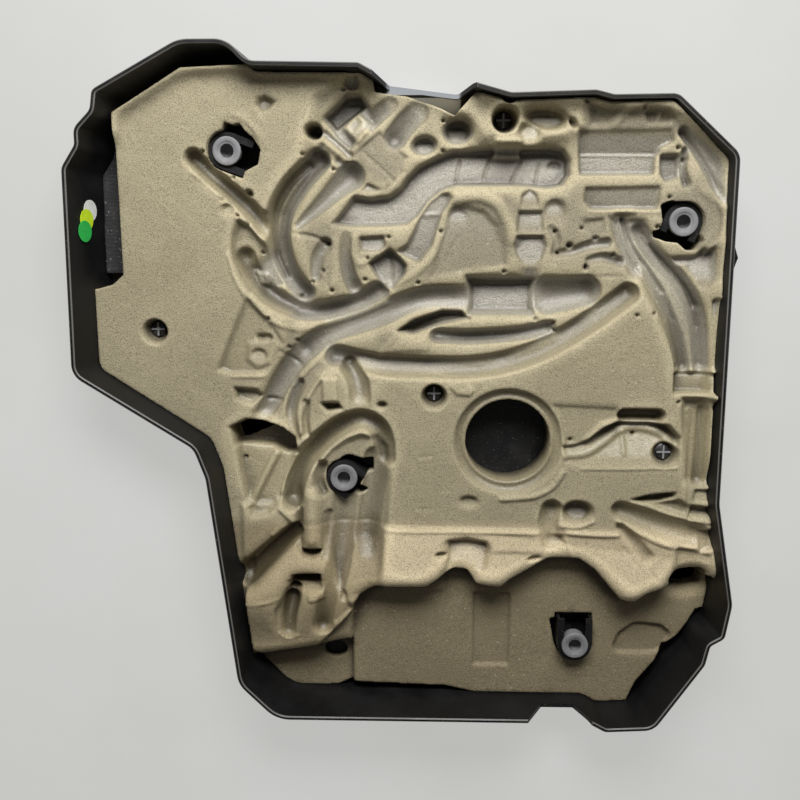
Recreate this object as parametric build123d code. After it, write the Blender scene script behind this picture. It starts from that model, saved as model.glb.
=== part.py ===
from build123d import *
import math
import os

# Engine cover lying on its outer face, foam side up.
# +X is right and +Y is up in the usual service view, +Z points out of the foam.

# Shell
PANEL_THICKNESS = 3.0
WALL_THICKNESS = 3.0
RIM_HEIGHT = 52.0
WALL_LEAN_LEFT = 14.0
WALL_LEAN_RIGHT = 8.0
WALL_LEAN_TOP = 6.0
WALL_LEAN_BOTTOM = 6.0
RIM_EDGE = 0.8
MIN_CORNER = 0.6

# Rim corners, clockwise from the upper left: x, y and corner radius
RIM = [
    (-236.0, 165.0, 10.0), (-226.0, 180.0, 6.0), (-226.0, 191.0, 10.0), (-214.0, 203.0, 8.0),
    (-212.0, 216.0, 6.0), (-152.0, 248.0, 25.0), (-120.0, 248.0, 20.0), (-106.0, 234.0, 12.0),
    (-32.0, 232.5, 6.0), (-14.0, 223.0, 6.0), (33.0, 217.0, 6.0), (45.0, 220.0, 5.0),
    (70.0, 213.0, 12.0), (126.0, 214.5, 10.0), (138.0, 211.5, 8.0), (180.0, 212.0, 10.0),
    (223.0, 173.0, 12.0), (224.0, -70.0, 30.0), (238.0, -146.0, 20.0), (234.0, -172.0, 6.0),
    (224.0, -178.0, 5.0), (221.0, -193.0, 10.0), (186.0, -246.0, 14.0), (150.0, -248.0, 8.0),
    (138.0, -241.5, 8.0), (-98.0, -242.0, 25.0), (-126.0, -214.0, 20.0), (-145.0, -54.0, 20.0),
    (-153.0, -32.0, 14.0), (-238.0, 21.0, 14.0),
]

# Openings in the rim: middle x, width at the sill and width at the rim; the sill's height follows
LOWER_NOTCH = (116.0, 24.0, 50.0)
LOWER_NOTCH_SILL = 31.0
UPPER_NOTCH = (12.0, 48.0, 72.0)
UPPER_NOTCH_SILL = 28.0
UPPER_NOTCH_CORNER = 10
NOTCH_REACH = 18.0

# Sloping apron below the upper notch: how far it reaches in from the wall, and its width
APRON_REACH = 18.0
APRON_WIDTH = 66.0

# Lug on the outside of the right wall, which starts at this rim corner
RIGHT_WALL_CORNER = 16
LUG_Y = 104.0
LUG_LENGTH = 36.0
LUG_DEPTH = 5.0
LUG_BASE = 30.0
LUG_HEIGHT = 14.0
LUG_NOSE = 3.0

# Grommets and the towers that hold them
FIT = 0.3
GROMMET_RADIUS = 10.0
GROMMET_FLANGE = 3.0
GROMMET_EDGE = 0.8
GROMMET_NECK_RADIUS = 7.7
GROMMET_SHOULDER = 1.3
GROMMET_TAIL_TAPER = 1.5
SOCKET_BORE_RADIUS = 4.7
SOCKET_BORE_LENGTH = 2.8
SOCKET_UNDERCUT = 1.1
SOCKET_BOTTOM = 1.0
TOWER_WALL = 2.0
TOWER_SPARE = 2.0
TOWER_PLATE = 3.0
GROMMET_TAIL_RADIUS = GROMMET_NECK_RADIUS + GROMMET_SHOULDER
TOWER_RADIUS = GROMMET_TAIL_RADIUS + TOWER_SPARE + TOWER_WALL

# Each grommet: x, y, height of its face, direction in which its tower opens (degrees), reach that way
GROMMETS = {
    "top_left": (-126.5, 177.5, 29.0, -20.0, 16.0),
    "right": (192.0, 128.5, 36.0, 250.0, 10.5),
    "middle": (-46.8, -59.0, 28.0, -37.0, 11.0),
    "bottom": (128.5, -188.5, 31.0, 90.0, 20.0),
}

# Rough outlines that are cut through the foam round the towers, beside the towers' own room
WELLS = {
    "top_left": [
        (-134, 184), (-130, 190), (-127, 197), (-122, 195), (-116, 196), (-113, 191), (-107, 186),
        (-102, 178), (-104, 168), (-118, 161),
    ],
    "right": [
        (175, 140), (181, 143), (192, 142), (203, 135), (206, 129), (204, 120), (206, 116), (201, 109),
        (194, 109), (188, 114), (180, 115), (172, 118), (171, 122), (176, 124), (177, 129),
    ],
    "middle": [
        (-58, -58), (-56, -51), (-48, -43), (-43, -41), (-33, -44), (-25, -45), (-25, -55), (-30, -56),
        (-35, -65), (-29, -70), (-34, -73), (-39, -72), (-43, -76), (-48, -75), (-50, -71), (-56, -66),
    ],
    "bottom": [
        (110, -172), (143, -170), (144, -194), (140, -203), (134, -206), (126, -206), (118, -202),
        (114, -192),
    ],
}

# Posts with push-on caps: the cross of the post passes through the domed cap
POST_ARM = 4.9
POST_RIB = 1.3
POST_TIP = 0.8
CAP_RADIUS = 6.0
CAP_EDGE = 1.2
CAP_CROWN = 1.6
CAP_ROOM = 3.2

# Each post: x, y and height of the cap's seat on the foam
POSTS = {
    "top": (67.0, 198.0, 19.0),
    "left": (-184.0, 51.0, 14.0),
    "centre": (20.0, 5.0, 21.0),
    "right": (187.0, -36.0, 29.0),
}

# Foam: its upper side is a tilted plane that the engine's imprints are pressed into
FOAM_GAP = 0.3
LAND_HEIGHT = 33.0
LAND_RISE_X = 0.04
LAND_RISE_Y = 0.02
PRESS_LEAN = 0.16
TOWER_ROOM = 1.2
FLOOR_HEIGHT = 18.0
LEDGE_HEIGHT = 10.0
LIP_LEFT = -20.0
LIP_Y = -97.0
LIP_TIP_Y = -152.0
LIP_RISE = 0.30
BLOCK_TOP = 50.0
BLOCK_CORNER = 4.0
FLOOR_CORNER = 3.0
FOAM_LEFT = -205.0
FOAM_STEP_Y = 91.0

# Where the foam ends short of the wall, clockwise from the upper left
FOAM_PLAN = [
    (FOAM_LEFT, 203.0), (-155.0, 232.0), (-100.0, 234.0), (-95.0, 260.0), (-30.0, 260.0), (-22.0, 216.0),
    (0.0, 213.0), (18.0, 207.0), (33.0, 200.0), (47.0, 215.0), (54.0, 260.0), (260.0, 250.0),
    (260.0, -150.0), (221.0, -163.0), (214.0, -176.0), (207.0, -186.0), (198.0, -193.0), (192.0, -206.0),
    (178.0, -224.0), (163.0, -260.0), (30.0, -229.0), (-42.0, -227.0), (-54.0, -233.0), (-90.0, -236.0),
    (-106.0, -228.0), (-114.0, -212.0), (-160.0, -205.0), (-180.0, -60.0), (-260.0, 0.0), (-260.0, 75.0),
    (-224.0, FOAM_STEP_Y - 10.0), (-213.0, FOAM_STEP_Y - 7.0), (FOAM_LEFT, FOAM_STEP_Y),
]

# The high block at the lower left
BLOCK = [
    (-122.0, -150.0), (-119.0, -196.0), (-112.0, -200.0), (-68.0, -192.0), (-38.0, -158.0),
    (-20.0, -140.0), (-16.0, -96.0), (-60.0, -84.0), (-92.0, -92.0), (-121.0, -124.0),
]

# Ground in front of the scalloped lip, and the ledge below the block
LOWER_FLOOR = [
    (-40.0, -157.0), (-34.0, -147.0), (-21.0, -140.0), (15.0, -140.0), (25.0, -133.0), (34.0, -127.0),
    (45.0, -128.0), (52.0, -138.0), (71.0, -140.0), (77.0, -134.0), (90.0, -127.0), (106.0, -118.0),
    (128.0, -118.0), (140.0, -126.0), (152.0, -140.0), (159.0, -148.0), (170.0, -150.0), (178.0, -143.0),
    (196.0, -138.0), (203.0, -134.0), (260.0, -130.0), (260.0, -270.0), (-42.0, -270.0), (-42.0, -190.0),
]
LOWER_LEDGE = [
    (-42.0, -188.0), (-66.0, -193.0), (-112.0, -202.0), (-160.0, -200.0), (-160.0, -270.0), (-42.0, -270.0),
]

# Imprints of pipes and hoses: radius, height of the lowest line, and the way they run.
# Two points are a straight run, three are an arc, four are straight runs with rounded bends.
TROUGHS = {
    "slant_pipe": (6.5, 20.0, [(-146, 170), (-103, 124)]),
    "bent_hose": (8.5, 17.0, [(-70, 170), (-97, 122), (-80, 79)]),
    "cone": (7.5, 21.0, [(-40, 158), (-70, 132)]),
    "duct": (11.0, 21.0, [(-42, 131), (-8, 136), (17, 162), (101, 164)]),
    "main_pipe": (10.0, 19.0, [(2, 74), (44, 75)]),
    "pipe_collar": (14.0, 18.0, [(44, 75), (94, 76)]),
    "pipe_end": (12.0, 20.0, [(92, 77), (128, 80)]),
    "long_hose_start": (7.5, 18.0, [(8, 73), (-34, 61), (-72, 44)]),
    "long_hose_end": (7.5, 18.0, [(-71, 45), (-89, 21), (-110, -15)]),
    "sweep_hose": (9.5, 16.0, [(-110, 98), (-68, 63), (-10, 87)]),
    "crescent": (7.5, 22.0, [(-48, 34), (45, 26), (152, 77)]),
    "small_crescent": (6.0, 23.0, [(15, 43), (62, 47), (102, 55)]),
    "arch": (8.0, 14.0, [(-84, -76), (-81, -44), (-36, -6), (-16, -34)]),
    "right_bed_inner": (8.0, 29.0, [(150, 130), (160, 102), (190, 58), (198, 29)]),
    "right_bed_outer": (6.5, 29.0, [(166, 116), (198, 77), (210, 29)]),
    "fan_hose": (8.0, 25.0, [(160, -80), (186, -91), (214, -98)]),
    "side_channel": (8.0, 31.0, [(212, 0), (212, -56)]),
    "two_lobes": (8.0, 18.0, [(-43, 27), (-37, 14), (-34, -1)]),
    "top_channel_left": (5.0, 28.0, [(-9, 210), (-24, 194)]),
    "top_channel_right": (6.5, 27.0, [(9, 203), (-6, 183)]),
    "block_groove": (7.0, 27.0, [(-84, -99), (-122, -138)]),
    "low_groove": (4.5, 14.0, [(-103, -46), (-117, -80)]),
}
TROUGH_FLAT_SHARE = 0.45
TROUGH_BEVEL_SHARE = 0.55
TROUGH_END_SHARE = 0.96
TROUGH_END_OVERLAP = 1.0
BEND_SHARE = 0.45
LARGEST_BEND = 60.0

# Imprints with flat floors: height of the floor, corner radius (0 is sharp) and outline
POCKETS = {
    "control_box": (31.0, 3.0, [(117, 189), (183, 190), (183, 180), (171, 178), (170, 158), (118, 158)]),
    "box_foot": (30.0, 0, [(124, 151), (176, 153), (175, 137), (128, 137)]),
    "small_box": (34.0, 0, [(176, 173), (188, 173), (188, 156), (176, 156)]),
    "plug": (25.0, 0, [(-60, 199), (-41, 217), (-22, 198), (-42, 179)]),
    "flat_square": (29.0, 0, [(-30, 178), (-17, 188), (2, 167), (-13, 151)]),
    "curved_strip": (27.0, 0, [
        (24, 148), (33, 145), (24, 128), (21, 113), (8, 99), (-5, 106), (5, 114), (11, 131),
    ]),
    "triangle": (24.0, 0, [(-28, 99), (-15, 108), (-2, 104), (1, 95), (-12, 80)]),
    "dark_lens": (23.0, 0, [(-8, 53), (22, 65), (40, 66), (45, 60), (26, 52), (2, 50)]),
    "connector": (31.0, 0, [
        (80, 152), (92, 152), (97, 137), (98, 112), (93, 92), (84, 92), (75, 112), (77, 137),
    ]),
    "right_box": (34.0, 0, [(190, 23), (222, 23), (222, 9), (190, 9)]),
    "dark_slot": (27.0, 4.0, [(152, -4), (186, -4), (186, -13), (152, -13)]),
    "low_field": (17.0, 4.0, [
        (-127, -24), (-112, -20), (-95, -23), (-83, -33), (-88, -60), (-98, -88), (-120, -92), (-126, -60),
    ]),
    "upright_box": (24.0, 0, [(-62, 18), (-51, 18), (-51, -2), (-62, -2)]),
    "block_pocket": (34.0, 3.0, [
        (-100, -184), (-98, -160), (-90, -147), (-81, -150), (-84, -168), (-85, -184),
    ]),
    "block_slot": (30.0, 0, [(-87, -137), (-65, -137), (-65, -143), (-87, -143)]),
    "lens": (22.0, 4.0, [
        (-120, 128), (-112, 122), (-104, 106), (-101, 92), (-113, 88), (-122, 98), (-125, 115),
    ]),
    "floor_recess": (FLOOR_HEIGHT - 3.0, 0, [(52, -152), (79, -152), (79, -211), (52, -211)]),
    "floor_dish": (FLOOR_HEIGHT - 4.0, 5.0, [
        (158, -199), (164, -184), (176, -175), (196, -177), (204, -184), (194, -199),
    ]),
    "corner_recess": (FLOOR_HEIGHT - 6.0, 3.0, [(196, -130), (221, -127), (222, -141), (203, -146)]),
}

# Round imprints: x, y, radius and height of the floor
ROUND_POCKETS = {
    "half_moon": (96.0, 192.0, 14.0, 28.0),
    "cup": (35.0, 188.0, 11.0, 29.0),
    "small_cup": (12.0, 179.0, 10.0, 30.0),
    "deep_cup": (-65.0, 190.0, 5.5, 19.0),
    "dish": (36.0, 132.0, 10.5, 33.0),
    "side_dish": (103.0, 135.0, 8.0, 34.5),
    "hump_left": (109.0, -84.0, 8.0, 25.0),
    "hump_right": (128.0, -84.0, 10.0, 25.0),
    "dimple": (-99.0, 208.0, 6.5, 29.5),
}

# Filler opening in the foam: middle, radius of the hole and of the sunk ring round it
FILLER = (74.0, -29.0)
FILLER_HOLE_RADIUS = 31.0
FILLER_RING_RADIUS = 40.0
FILLER_RING_HEIGHT = 28.0

# Slanting shelf below the dark slot: where it starts, ends and how deep it starts
SHELF_TOP_Y = -15.0
SHELF_END_Y = -49.0
SHELF_DEPTH = 8.0
SHELF_LEAN = 5.0
SHELF_LEFT = 128.0
SHELF_RIGHT = 196.0

# Oval hole through the ledge
LEDGE_HOLE = (-56.0, -203.0)
LEDGE_HOLE_RADII = (9.0, 7.0)

# Strip of closed-cell foam along the left wall
STRIP_THICKNESS = 9.0
STRIP_LENGTH = 95.0

# Inspection dots on the left wall, lowest first: y and z of the middle
DOT_RADIUS = 7.5
DOT_THICKNESS = 0.3
DOT_GAP = 0.1
DOTS = {
    "white": (136.5, 26.5),
    "yellow": (130.0, 31.5),
    "green": (122.0, 34.5),
}

# Shared limits and alignment
HIGH = RIM_HEIGHT + 20.0
STANDING = (Align.CENTER, Align.CENTER, Align.MIN)
LEFT = min(corner[0] for corner in RIM)
RIGHT = max(corner[0] for corner in RIM)
BOTTOM = min(corner[1] for corner in RIM)
TOP = max(corner[1] for corner in RIM)


def turn_at(before, here, after):
    """Turn of the outline at a corner in radians, positive to the left."""
    ahead = math.atan2(after[1] - here[1], after[0] - here[0])
    behind = math.atan2(here[1] - before[1], here[0] - before[0])
    return math.remainder(ahead - behind, math.tau)


def at_height(height):
    """Outer corners of the leaning skirt at one height."""
    drop = (RIM_HEIGHT - height) / RIM_HEIGHT
    corners = []
    for x, y, radius in RIM:
        across = (x - LEFT) / (RIGHT - LEFT)
        along = (y - BOTTOM) / (TOP - BOTTOM)
        shift_x = WALL_LEAN_LEFT * (1 - across) - WALL_LEAN_RIGHT * across
        shift_y = WALL_LEAN_BOTTOM * (1 - along) - WALL_LEAN_TOP * along
        corners.append((x + shift_x * drop, y + shift_y * drop, radius))
    return corners


def inset(corners, distance):
    """Move a clockwise outline inwards by a distance, or outwards if it is negative."""
    count = len(corners)
    moved = []
    for index, (x, y, radius) in enumerate(corners):
        before = corners[index - 1]
        after = corners[(index + 1) % count]
        first = Vector(x - before[0], y - before[1]).normalized()
        second = Vector(after[0] - x, after[1] - y).normalized()
        inward = Vector(first.Y + second.Y, -first.X - second.X)
        inward = inward * (distance / (1 + first.dot(second)))
        convex = turn_at(before, (x, y), after) < 0
        grown = radius - distance if convex else radius + distance
        new_radius = max(grown, MIN_CORNER) if radius else 0
        moved.append((x + inward.X, y + inward.Y, new_radius))
    return moved


def rounded_face(corners, height):
    """Flat face at one height, with its corners rounded unless they are all sharp."""
    places = [(x, y, height) for x, y, radius in corners]
    radii = [radius for x, y, radius in corners]
    if max(radii) == 0:
        return make_face(Polyline(*places, close=True))
    return make_face(FilletPolyline(*places, radius=radii, close=True))


def plain_face(points, radius, height):
    """Flat face from plain points that share one corner radius."""
    return rounded_face([(x, y, radius) for x, y in points], height)


def skirt_solid(inward, low, edge=0):
    """Solid bounded by the skirt, moved inwards, from one height to the rim, with a bevel at the rim."""
    heights = [(low, inward), (RIM_HEIGHT, inward)]
    if edge:
        heights = [(low, inward), (RIM_HEIGHT - abs(edge), inward), (RIM_HEIGHT, inward + edge)]
    faces = [rounded_face(inset(at_height(height), distance), height) for height, distance in heights]
    return loft(faces, ruled=True)


def upright_prism(points, low, high, radius=0):
    """Upright solid over an outline, with sharp corners unless a radius is given."""
    return extrude(plain_face(points, radius, low), amount=high - low, dir=(0, 0, 1))


def pressed_pocket(points, radius, floor):
    """Cutter that leaves a flat floor and walls that lean outwards as moulded ones do."""
    corners = [(x, y, radius) for x, y in points]
    wide = inset(corners, -PRESS_LEAN * (HIGH - floor))
    return loft([rounded_face(corners, floor), rounded_face(wide, HIGH)], ruled=True)


def pressed_cup(x, y, radius, floor):
    """Round cutter with a leaning wall."""
    height = HIGH - floor
    return Pos(x, y, floor) * Cone(radius, radius + PRESS_LEAN * height, height, align=STANDING)


def bend_radii(points):
    """The largest radius that each corner of a path has room for."""
    radii = []
    for before, here, after in zip(points, points[1:], points[2:]):
        shorter = min(math.dist(before, here), math.dist(here, after))
        half_turn = abs(turn_at(before, here, after)) / 2
        radii.append(min(LARGEST_BEND, BEND_SHARE * shorter / math.tan(half_turn)))
    return radii


def trough_path(floor, points):
    """Line along the lowest middle of a trough."""
    places = [(x, y, floor) for x, y in points]
    if len(points) == 2:
        return Line(*places)
    if len(points) == 3:
        return ThreePointArc(*places)
    return FilletPolyline(*places, radius=bend_radii(points))


def trough_side(radius, floor):
    """Half section of a trough from its lowest middle outwards: floor, bevel and leaning wall."""
    height = HIGH - floor
    bevel = TROUGH_BEVEL_SHARE * radius
    wide = radius + PRESS_LEAN * (height - bevel)
    return [(TROUGH_FLAT_SHARE * radius, 0), (radius, bevel), (wide, height)]


def trough_run(radius, floor, points):
    """Cutter for a trough along its path."""
    path = trough_path(floor, points)
    along = path % 0
    section = Plane(path @ 0, x_dir=(-along.Y, along.X, 0), z_dir=along)
    right = trough_side(radius, floor)
    left = [(-across, up) for across, up in reversed(right)]
    return sweep(section * make_face(Polyline(*right, *left, close=True)), path=path)


def trough_ends(radius, floor, points):
    """Round cutters for both ends of a trough, a little slimmer than its run."""
    side = trough_side(TROUGH_END_SHARE * radius, floor)
    half = Polyline((0, 0), *side, (0, HIGH - floor), close=True)
    end = revolve(make_face(Plane.XZ * half), Axis.Z)
    path = trough_path(floor, points)
    start = path @ 0 + path % 0 * TROUGH_END_OVERLAP
    finish = path @ 1 - path % 1 * TROUGH_END_OVERLAP
    return [Pos(place) * end for place in (start, finish)]


def across_prism(points, left, right):
    """Solid with a side outline in Y and Z, from left to right."""
    face = make_face(Polyline(*[(left, y, z) for y, z in points], close=True))
    return extrude(face, amount=right - left, dir=(1, 0, 0))


def tower_outline(grow, reach):
    """U-shaped outline that opens along +X: a round back and two cheeks that end at the reach."""
    radius = TOWER_RADIUS + grow
    outline = Circle(radius) + Pos(reach / 2, 0) * Rectangle(reach, 2 * radius)
    return outline - Pos(reach + radius, 0) * Rectangle(2 * radius, 4 * radius)


def tower_place(name):
    """Where a tower stands, turned to its opening."""
    x, y, face, opening, reach = GROMMETS[name]
    return Pos(x, y, 0) * Rot(0, 0, opening)


def grommet_tower(name):
    """Open tower on the panel with a keyhole plate for one grommet."""
    x, y, face, opening, reach = GROMMETS[name]
    plate_top = face - GROMMET_FLANGE
    foot = PANEL_THICKNESS
    tower = Pos(0, 0, foot) * extrude(tower_outline(0, reach), amount=plate_top - foot)
    room = extrude(tower_outline(-TOWER_WALL, reach + 1), amount=plate_top - TOWER_PLATE - foot)
    slot_radius = GROMMET_NECK_RADIUS + FIT
    slot = Circle(slot_radius) + Pos(reach, 0) * Rectangle(2 * reach, 2 * slot_radius)
    tower -= Pos(0, 0, foot) * room
    tower -= Pos(0, 0, plate_top - 2 * TOWER_PLATE) * extrude(slot, amount=3 * TOWER_PLATE)
    return tower_place(name) * tower


def grommet(name):
    """Rubber grommet with a waist for the tower's plate and a socket for a ball stud."""
    x, y, face, opening, reach = GROMMETS[name]
    ball_radius = SOCKET_BORE_RADIUS + SOCKET_UNDERCUT
    bore_end = face - SOCKET_BORE_LENGTH
    ball_middle = bore_end - math.sqrt(ball_radius ** 2 - SOCKET_BORE_RADIUS ** 2)
    waist_top = face - GROMMET_FLANGE
    waist_low = waist_top - TOWER_PLATE - FIT / 2
    tail_end = ball_middle - ball_radius - SOCKET_BOTTOM
    outline = Polyline(
        (0, face), (GROMMET_RADIUS - GROMMET_EDGE, face), (GROMMET_RADIUS, face - GROMMET_EDGE),
        (GROMMET_RADIUS, waist_top), (GROMMET_NECK_RADIUS, waist_top), (GROMMET_NECK_RADIUS, waist_low),
        (GROMMET_TAIL_RADIUS, waist_low), (GROMMET_TAIL_RADIUS, tail_end + GROMMET_TAIL_TAPER),
        (GROMMET_TAIL_RADIUS - GROMMET_TAIL_TAPER, tail_end), (0, tail_end), close=True,
    )
    body = revolve(make_face(Plane.XZ * outline), Axis.Z)
    bore = Cylinder(SOCKET_BORE_RADIUS, 2 * SOCKET_BORE_LENGTH, align=STANDING)
    body -= Pos(0, 0, bore_end) * bore
    body -= Pos(0, 0, ball_middle) * Sphere(ball_radius)
    return Pos(x, y, 0) * body


def cross(arm, rib, height):
    """Upright cross of two ribs."""
    along = Box(2 * arm, rib, height, align=STANDING)
    return along + Box(rib, 2 * arm, height, align=STANDING)


def post(name):
    """Cross-shaped post that a cap is pushed on to."""
    x, y, seat = POSTS[name]
    height = seat + CAP_EDGE + CAP_CROWN + POST_TIP - PANEL_THICKNESS
    return Pos(x, y, PANEL_THICKNESS) * cross(POST_ARM, POST_RIB, height)


def retainer(name):
    """Push-on cap with a domed top and a cross-shaped slot for its post."""
    x, y, seat = POSTS[name]
    top = seat + CAP_EDGE + CAP_CROWN
    shoulder = top - CAP_CROWN / 4
    crown = ThreePointArc((CAP_RADIUS, seat + CAP_EDGE), (CAP_RADIUS / 2, shoulder), (0, top))
    sides = Polyline((0, top), (0, seat), (CAP_RADIUS, seat), (CAP_RADIUS, seat + CAP_EDGE))
    cap = revolve(make_face(Plane.XZ * (crown + sides)), Axis.Z)
    cap -= Pos(0, 0, seat - 1) * cross(POST_ARM + FIT, POST_RIB + 2 * FIT, 2 * (CAP_EDGE + CAP_CROWN))
    return Pos(x, y, 0) * cap


def notch_cutter(notch, sill, y):
    """Trapezoid that opens the rim down to a sill."""
    middle, low_width, high_width = notch
    points = [
        (middle - low_width / 2, sill), (middle - high_width / 2, RIM_HEIGHT + 1),
        (middle + high_width / 2, RIM_HEIGHT + 1), (middle + low_width / 2, sill),
    ]
    face = make_face(Polyline(*[(x, y, z) for x, z in points], close=True))
    return extrude(face, amount=NOTCH_REACH, dir=(0, 1, 0), both=True)


def apron(gap):
    """Wedge that slopes from the panel to the sill of the upper notch; a gap widens it."""
    wall_y = at_height(UPPER_NOTCH_SILL)[UPPER_NOTCH_CORNER][1]
    foot = wall_y - APRON_REACH - gap
    top = UPPER_NOTCH_SILL + gap
    side = [(foot, PANEL_THICKNESS), (wall_y - gap, top), (TOP, top), (TOP, PANEL_THICKNESS)]
    half = APRON_WIDTH / 2 + gap
    return across_prism(side, UPPER_NOTCH[0] - half, UPPER_NOTCH[0] + half)


def side_lug():
    """Small pointed lug on the outside of the right wall."""
    wall = at_height(LUG_BASE)[RIGHT_WALL_CORNER][0]
    end = wall + LUG_DEPTH
    root = wall - WALL_THICKNESS / 2
    points = [
        (root, LUG_Y - LUG_LENGTH / 2), (root, LUG_Y + LUG_LENGTH / 2), (end, LUG_Y + LUG_LENGTH / 4),
        (end + LUG_NOSE, LUG_Y), (end, LUG_Y - LUG_LENGTH / 4),
    ]
    return upright_prism(points, LUG_BASE, LUG_BASE + LUG_HEIGHT, MIN_CORNER)


def cover_shell():
    """The moulded cover: panel, leaning skirt, towers, posts, notches and lug."""
    outside = skirt_solid(0, 0, RIM_EDGE)
    shell = outside + side_lug() - skirt_solid(WALL_THICKNESS, PANEL_THICKNESS, -RIM_EDGE)
    shell += apron(0) & outside
    shell -= notch_cutter(LOWER_NOTCH, LOWER_NOTCH_SILL, BOTTOM)
    shell -= notch_cutter(UPPER_NOTCH, UPPER_NOTCH_SILL, RIM[UPPER_NOTCH_CORNER][1])
    shell += [grommet_tower(name) for name in GROMMETS]
    shell += [post(name) for name in POSTS]
    return shell


def foam_blank():
    """The block that the foam is pressed from: it fills the skirt and stops where the plan says."""
    filled = skirt_solid(WALL_THICKNESS + FOAM_GAP, PANEL_THICKNESS)
    blank = filled & upright_prism(FOAM_PLAN, PANEL_THICKNESS, RIM_HEIGHT)
    return blank - apron(FOAM_GAP)


def foam_land():
    """Upper side of the foam before the imprints: a tilted plane, a rising lip and a block."""
    wide = 2 * (RIGHT - LEFT)
    deep = Box(wide, wide, RIM_HEIGHT, align=(Align.CENTER, Align.CENTER, Align.MAX))
    land = Plane((0, 0, LAND_HEIGHT), z_dir=(-LAND_RISE_X, -LAND_RISE_Y, 1)) * deep
    tip = LAND_HEIGHT + LIP_RISE * (LIP_Y - LIP_TIP_Y)
    lip = across_prism([(LIP_Y, 0), (LIP_Y, LAND_HEIGHT), (LIP_TIP_Y, tip), (LIP_TIP_Y, 0)], LIP_LEFT, RIGHT)
    corners = [(x, y, BLOCK_CORNER) for x, y in BLOCK]
    foot = inset(corners, -PRESS_LEAN * BLOCK_TOP)
    block = loft([rounded_face(foot, 0), rounded_face(corners, BLOCK_TOP)], ruled=True)
    return land + lip + block


def tower_well(name):
    """Room in the foam for one tower."""
    reach = GROMMETS[name][4]
    room = extrude(tower_outline(TOWER_ROOM, reach + TOWER_ROOM), amount=2 * HIGH, both=True)
    return tower_place(name) * room


def rough_well(name):
    """The rough hole that is cut through the foam round one tower."""
    return upright_prism(WELLS[name], 0, HIGH)


def post_well(name):
    """Stepped hole in the foam for one post and its retainer."""
    x, y, seat = POSTS[name]
    hole = Pos(x, y, 0) * Cylinder(POST_ARM + FIT, 2 * HIGH)
    return hole + pressed_cup(x, y, CAP_RADIUS + CAP_ROOM, seat)


def shelf_cutter():
    """Wedge that leaves a slanting shelf below the dark slot."""
    land = LAND_HEIGHT + LAND_RISE_X * (SHELF_LEFT + SHELF_RIGHT) / 2
    points = [
        (SHELF_TOP_Y, land - SHELF_DEPTH), (SHELF_TOP_Y + SHELF_LEAN, HIGH), (SHELF_END_Y, HIGH),
        (SHELF_END_Y, land),
    ]
    return across_prism(points, SHELF_LEFT, SHELF_RIGHT)


def foam_pad():
    """The acoustic foam with the imprints of the engine pressed into it."""
    foam = foam_blank() & foam_land()
    foam -= [
        upright_prism(LOWER_FLOOR, FLOOR_HEIGHT, HIGH, FLOOR_CORNER),
        upright_prism(LOWER_LEDGE, LEDGE_HEIGHT, HIGH, FLOOR_CORNER),
    ]
    foam -= [pressed_pocket(points, radius, floor) for floor, radius, points in POCKETS.values()]
    foam -= [pressed_cup(*cup) for cup in ROUND_POCKETS.values()]
    foam -= [trough_run(*trough) for trough in TROUGHS.values()]
    foam -= [end for trough in TROUGHS.values() for end in trough_ends(*trough)]
    foam -= shelf_cutter()
    foam -= pressed_cup(*FILLER, FILLER_RING_RADIUS, FILLER_RING_HEIGHT)
    foam -= Pos(*FILLER, 0) * Cylinder(FILLER_HOLE_RADIUS, 2 * HIGH)
    foam -= Pos(*LEDGE_HOLE, 0) * extrude(Ellipse(*LEDGE_HOLE_RADII), amount=HIGH, both=True)
    foam -= [tower_well(name) for name in GROMMETS]
    foam -= [rough_well(name) for name in WELLS]
    foam -= [post_well(name) for name in POSTS]
    return foam


def left_wall_point(y, z):
    """Point on the inner side of the left wall."""
    corners = inset(at_height(z), WALL_THICKNESS)
    low = corners[-1]
    high = corners[0]
    share = (y - low[1]) / (high[1] - low[1])
    return Vector(low[0] + (high[0] - low[0]) * share, y, z)


def seal_strip():
    """Strip of closed-cell foam between the left wall and the foam pad."""
    low = FOAM_STEP_Y + FIT
    high = low + STRIP_LENGTH
    right = FOAM_LEFT - FIT
    points = [(LEFT, low), (LEFT, high), (right, high), (right, low)]
    strip = upright_prism(points, PANEL_THICKNESS, PANEL_THICKNESS + STRIP_THICKNESS)
    return strip & skirt_solid(WALL_THICKNESS + FIT, PANEL_THICKNESS)


def inspection_dot(name, layer):
    """Thin round sticker on the left wall, above the ones under it."""
    y, z = DOTS[name]
    middle = left_wall_point(y, z)
    along = left_wall_point(y + 1, z) - middle
    up = left_wall_point(y, z + 1) - middle
    out = along.cross(up).normalized()
    lift = DOT_GAP + layer * (DOT_THICKNESS + DOT_GAP)
    disc = Cylinder(DOT_RADIUS, DOT_THICKNESS, align=STANDING)
    return Plane(middle + out * lift, x_dir=along, z_dir=out) * disc


os.makedirs("parts", exist_ok=True)
nodes = {"cover_shell": cover_shell(), "foam_pad": foam_pad(), "seal_strip": seal_strip()}
for name in GROMMETS:
    nodes["grommet_" + name] = grommet(name)
for name in POSTS:
    nodes["retainer_" + name] = retainer(name)
for layer, name in enumerate(DOTS):
    nodes["inspection_dot_" + name] = inspection_dot(name, layer)
for name, solid in nodes.items():
    export_step(solid, f"parts/{name}.step")
    print(name, round(solid.volume), len(solid.solids()))
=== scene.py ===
"""Underside of a moulded engine cover with its foam pad, grommets, caps, seal strip and inspection dots."""

import math

import bmesh
import bpy
import numpy as np
from bpy.props import FloatProperty, FloatVectorProperty, IntProperty, PointerProperty
from mathutils import Matrix, Vector
from mathutils.bvhtree import BVHTree


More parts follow.
